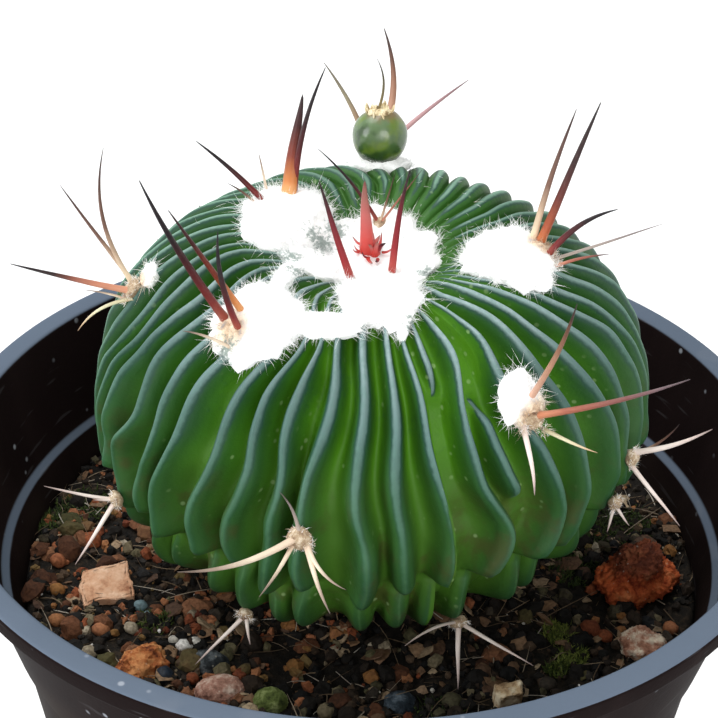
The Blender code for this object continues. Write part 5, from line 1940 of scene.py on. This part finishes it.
def round_form(bm, seed, amount, lava):
    """A lumpy ball; the lava lump narrows upwards."""
    bmesh.ops.create_icosphere(bm, subdivisions=6 if lava else 5, radius=1.0)
    for vert in bm.verts:
        lump = noise.noise(vert.co * 1.7 + seed) + 0.5 * noise.noise(vert.co * 3.9 + seed)
        vert.co *= 1.0 + amount * lump
        if lava:
            narrow = 1.0 - LAVA_NARROWING * float(smooth_step(-0.1, 0.3, vert.co.z))
            vert.co.x = (vert.co.x + 0.1) * narrow - 0.1
            vert.co.y *= narrow


def break_surface(bm, seed, kind):
    """Breaks the faces and cuts pits, and keeps the level of each place as an attribute."""
    layer = bm.verts.layers.float.new("height")
    bm.normal_update()
    bmesh.ops.recalc_face_normals(bm, faces=bm.faces)
    levels = []
    for vert in bm.verts:
        point = vert.co * 2.6 + seed * 3
        broken = 1.0 - abs(noise.noise(point * 2.2)) * 2.0
        pits = noise.noise(point * 4.6)
        fine = noise.noise(point * 11.0)
        lumpy = 0.5 * broken + 0.45 * pits + 0.35 * fine
        levels.append(lumpy if kind == "lump" else 0.5 * pits + 0.4 * fine)
    for vert, level in zip(bm.verts, levels):
        vert[layer] = 0.5 + 0.5 * level
        vert.co -= vert.normal * STONE_DEPTH[kind] * (0.55 - level) * 0.9


def make_stone(name, look):
    """A stone on the CAD stone's form, with the broken surface of the real one."""
    kind, (x, y), rise, half, turn, slot = STONES[name]
    seed = Vector((x, y, rise))
    bm = bmesh.new()
    if kind == "chip":
        chip_form(bm, seed)
    else:
        round_form(bm, seed, STONE_ROUGHNESS[kind], name == "lava_stone")
    break_surface(bm, seed, kind)
    turned_round = Matrix.Rotation(math.radians(turn), 4, "Z")
    tilted = Matrix.Rotation(math.radians(STONE_TILT), 4, "X")
    bm.transform(moved((x, y, POT_HEIGHT - SOIL_DEPTH + rise)) @ turned_round @ tilted @ sized(*half))
    show(object_from(bm, f"{name}_broken"), look, [name], slot)


# Studio


def light_sky(world):
    """A pale sky that is white at the horizon and dim overhead."""
    world.use_nodes = True
    tree = world.node_tree
    sky = tree.nodes["Background"]
    sky.inputs["Color"].default_value = SKY_COLOUR
    heading = tree.nodes.new("ShaderNodeTexCoord")
    rise = tree.nodes.new("ShaderNodeSeparateXYZ")
    level = tree.nodes.new("ShaderNodeMapRange")
    level.interpolation_type = "SMOOTHSTEP"
    values = (*HORIZON_RISES, HORIZON_STRENGTH, SKY_STRENGTH)
    for socket, value in zip(("From Min", "From Max", "To Min", "To Max"), values):
        level.inputs[socket].default_value = value
    tree.links.new(heading.outputs["Generated"], rise.inputs[0])
    tree.links.new(rise.outputs["Z"], level.inputs["Value"])
    tree.links.new(level.outputs[0], sky.inputs["Strength"])


def hang_light(light, aim, place=(0.0, 0.0, 0.0)):
    obj = placed(light.name, light)
    obj.location = place
    obj.rotation_mode = "QUATERNION"
    obj.rotation_quaternion = aim.to_track_quat("-Z", "Y")


def make_lights():
    sun = bpy.data.lights.new("overhead", "SUN")
    sun.energy = SUN_STRENGTH
    sun.angle = math.radians(SUN_ANGLE)
    hang_light(sun, -Vector(SUN_PLACE))
    for name, (place, colour) in FILLS.items():
        fill = bpy.data.lights.new(name, "AREA")
        fill.shape = "DISK"
        fill.size = FILL_SIZE
        fill.energy = FILL_POWER
        fill.color = colour
        hang_light(fill, Vector(CAMERA_TARGET) - Vector(place), place)


def make_camera():
    camera = bpy.data.cameras.new("camera")
    camera.sensor_width = SENSOR_WIDTH
    camera.lens = SENSOR_WIDTH * FOCAL_PIXELS / IMAGE_SIDE
    camera.clip_start = CAMERA_NEAR
    rise = math.radians(CAMERA_RISE)
    roll = math.radians(CAMERA_ROLL)
    back = Vector((0.0, -math.cos(rise), math.sin(rise)))
    right = Vector((1.0, 0.0, 0.0))
    up = back.cross(right)
    rolled_right = right * math.cos(roll) + up * math.sin(roll)
    rolled_up = up * math.cos(roll) - right * math.sin(roll)
    turn = Matrix((rolled_right, rolled_up, back)).transposed()
    obj = placed("camera", camera)
    obj.matrix_world = Matrix.Translation(Vector(CAMERA_TARGET) + back * CAMERA_DISTANCE) @ turn.to_4x4()
    bpy.context.scene.camera = obj


def make_studio():
    bm = bmesh.new()
    bmesh.ops.create_grid(bm, x_segments=4, y_segments=4, size=FLOOR_HALF_SIDE)
    floor = object_from(bm, "studio_floor")
    floor.data.materials.append(studio_floor())
    world = bpy.data.worlds.new("studio")
    light_sky(world)
    bpy.context.scene.world = world
    bpy.context.scene.view_settings.view_transform = "Standard"
    make_lights()
    make_camera()


# Assembly


def main():
    make_studio()
    wool = glowing_wool_white()
    spines = {name: spine_colour(name, stops) for name, stops in SPINE_STOPS.items()}
    spines["cushion"] = cushion_brown()
    spines["wool"] = wool
    make_body(cactus_skin())
    for name, group in pad_maps():
        make_wool(name, group, wool)
    make_stray_fibres(wool)
    make_clusters(spines)
    centre = make_fruit(fruit_green())
    make_flower(centre, dried_flower(), dry_style())
    make_pot(pot_plastic())
    make_soil(peat())
    litter = {name: crumb_colours(*row) for name, row in LITTER_LOOKS.items()}
    make_litter(litter)
    make_fibres(root_fibre())
    make_moss(moss_green())
    for name, row in STONE_LOOKS.items():
        dark_over = LAVA_DARK_HEIGHT if name == "lava_stone" else 0.0
        make_stone(name, rough_stone(*row, dark_over))


main()
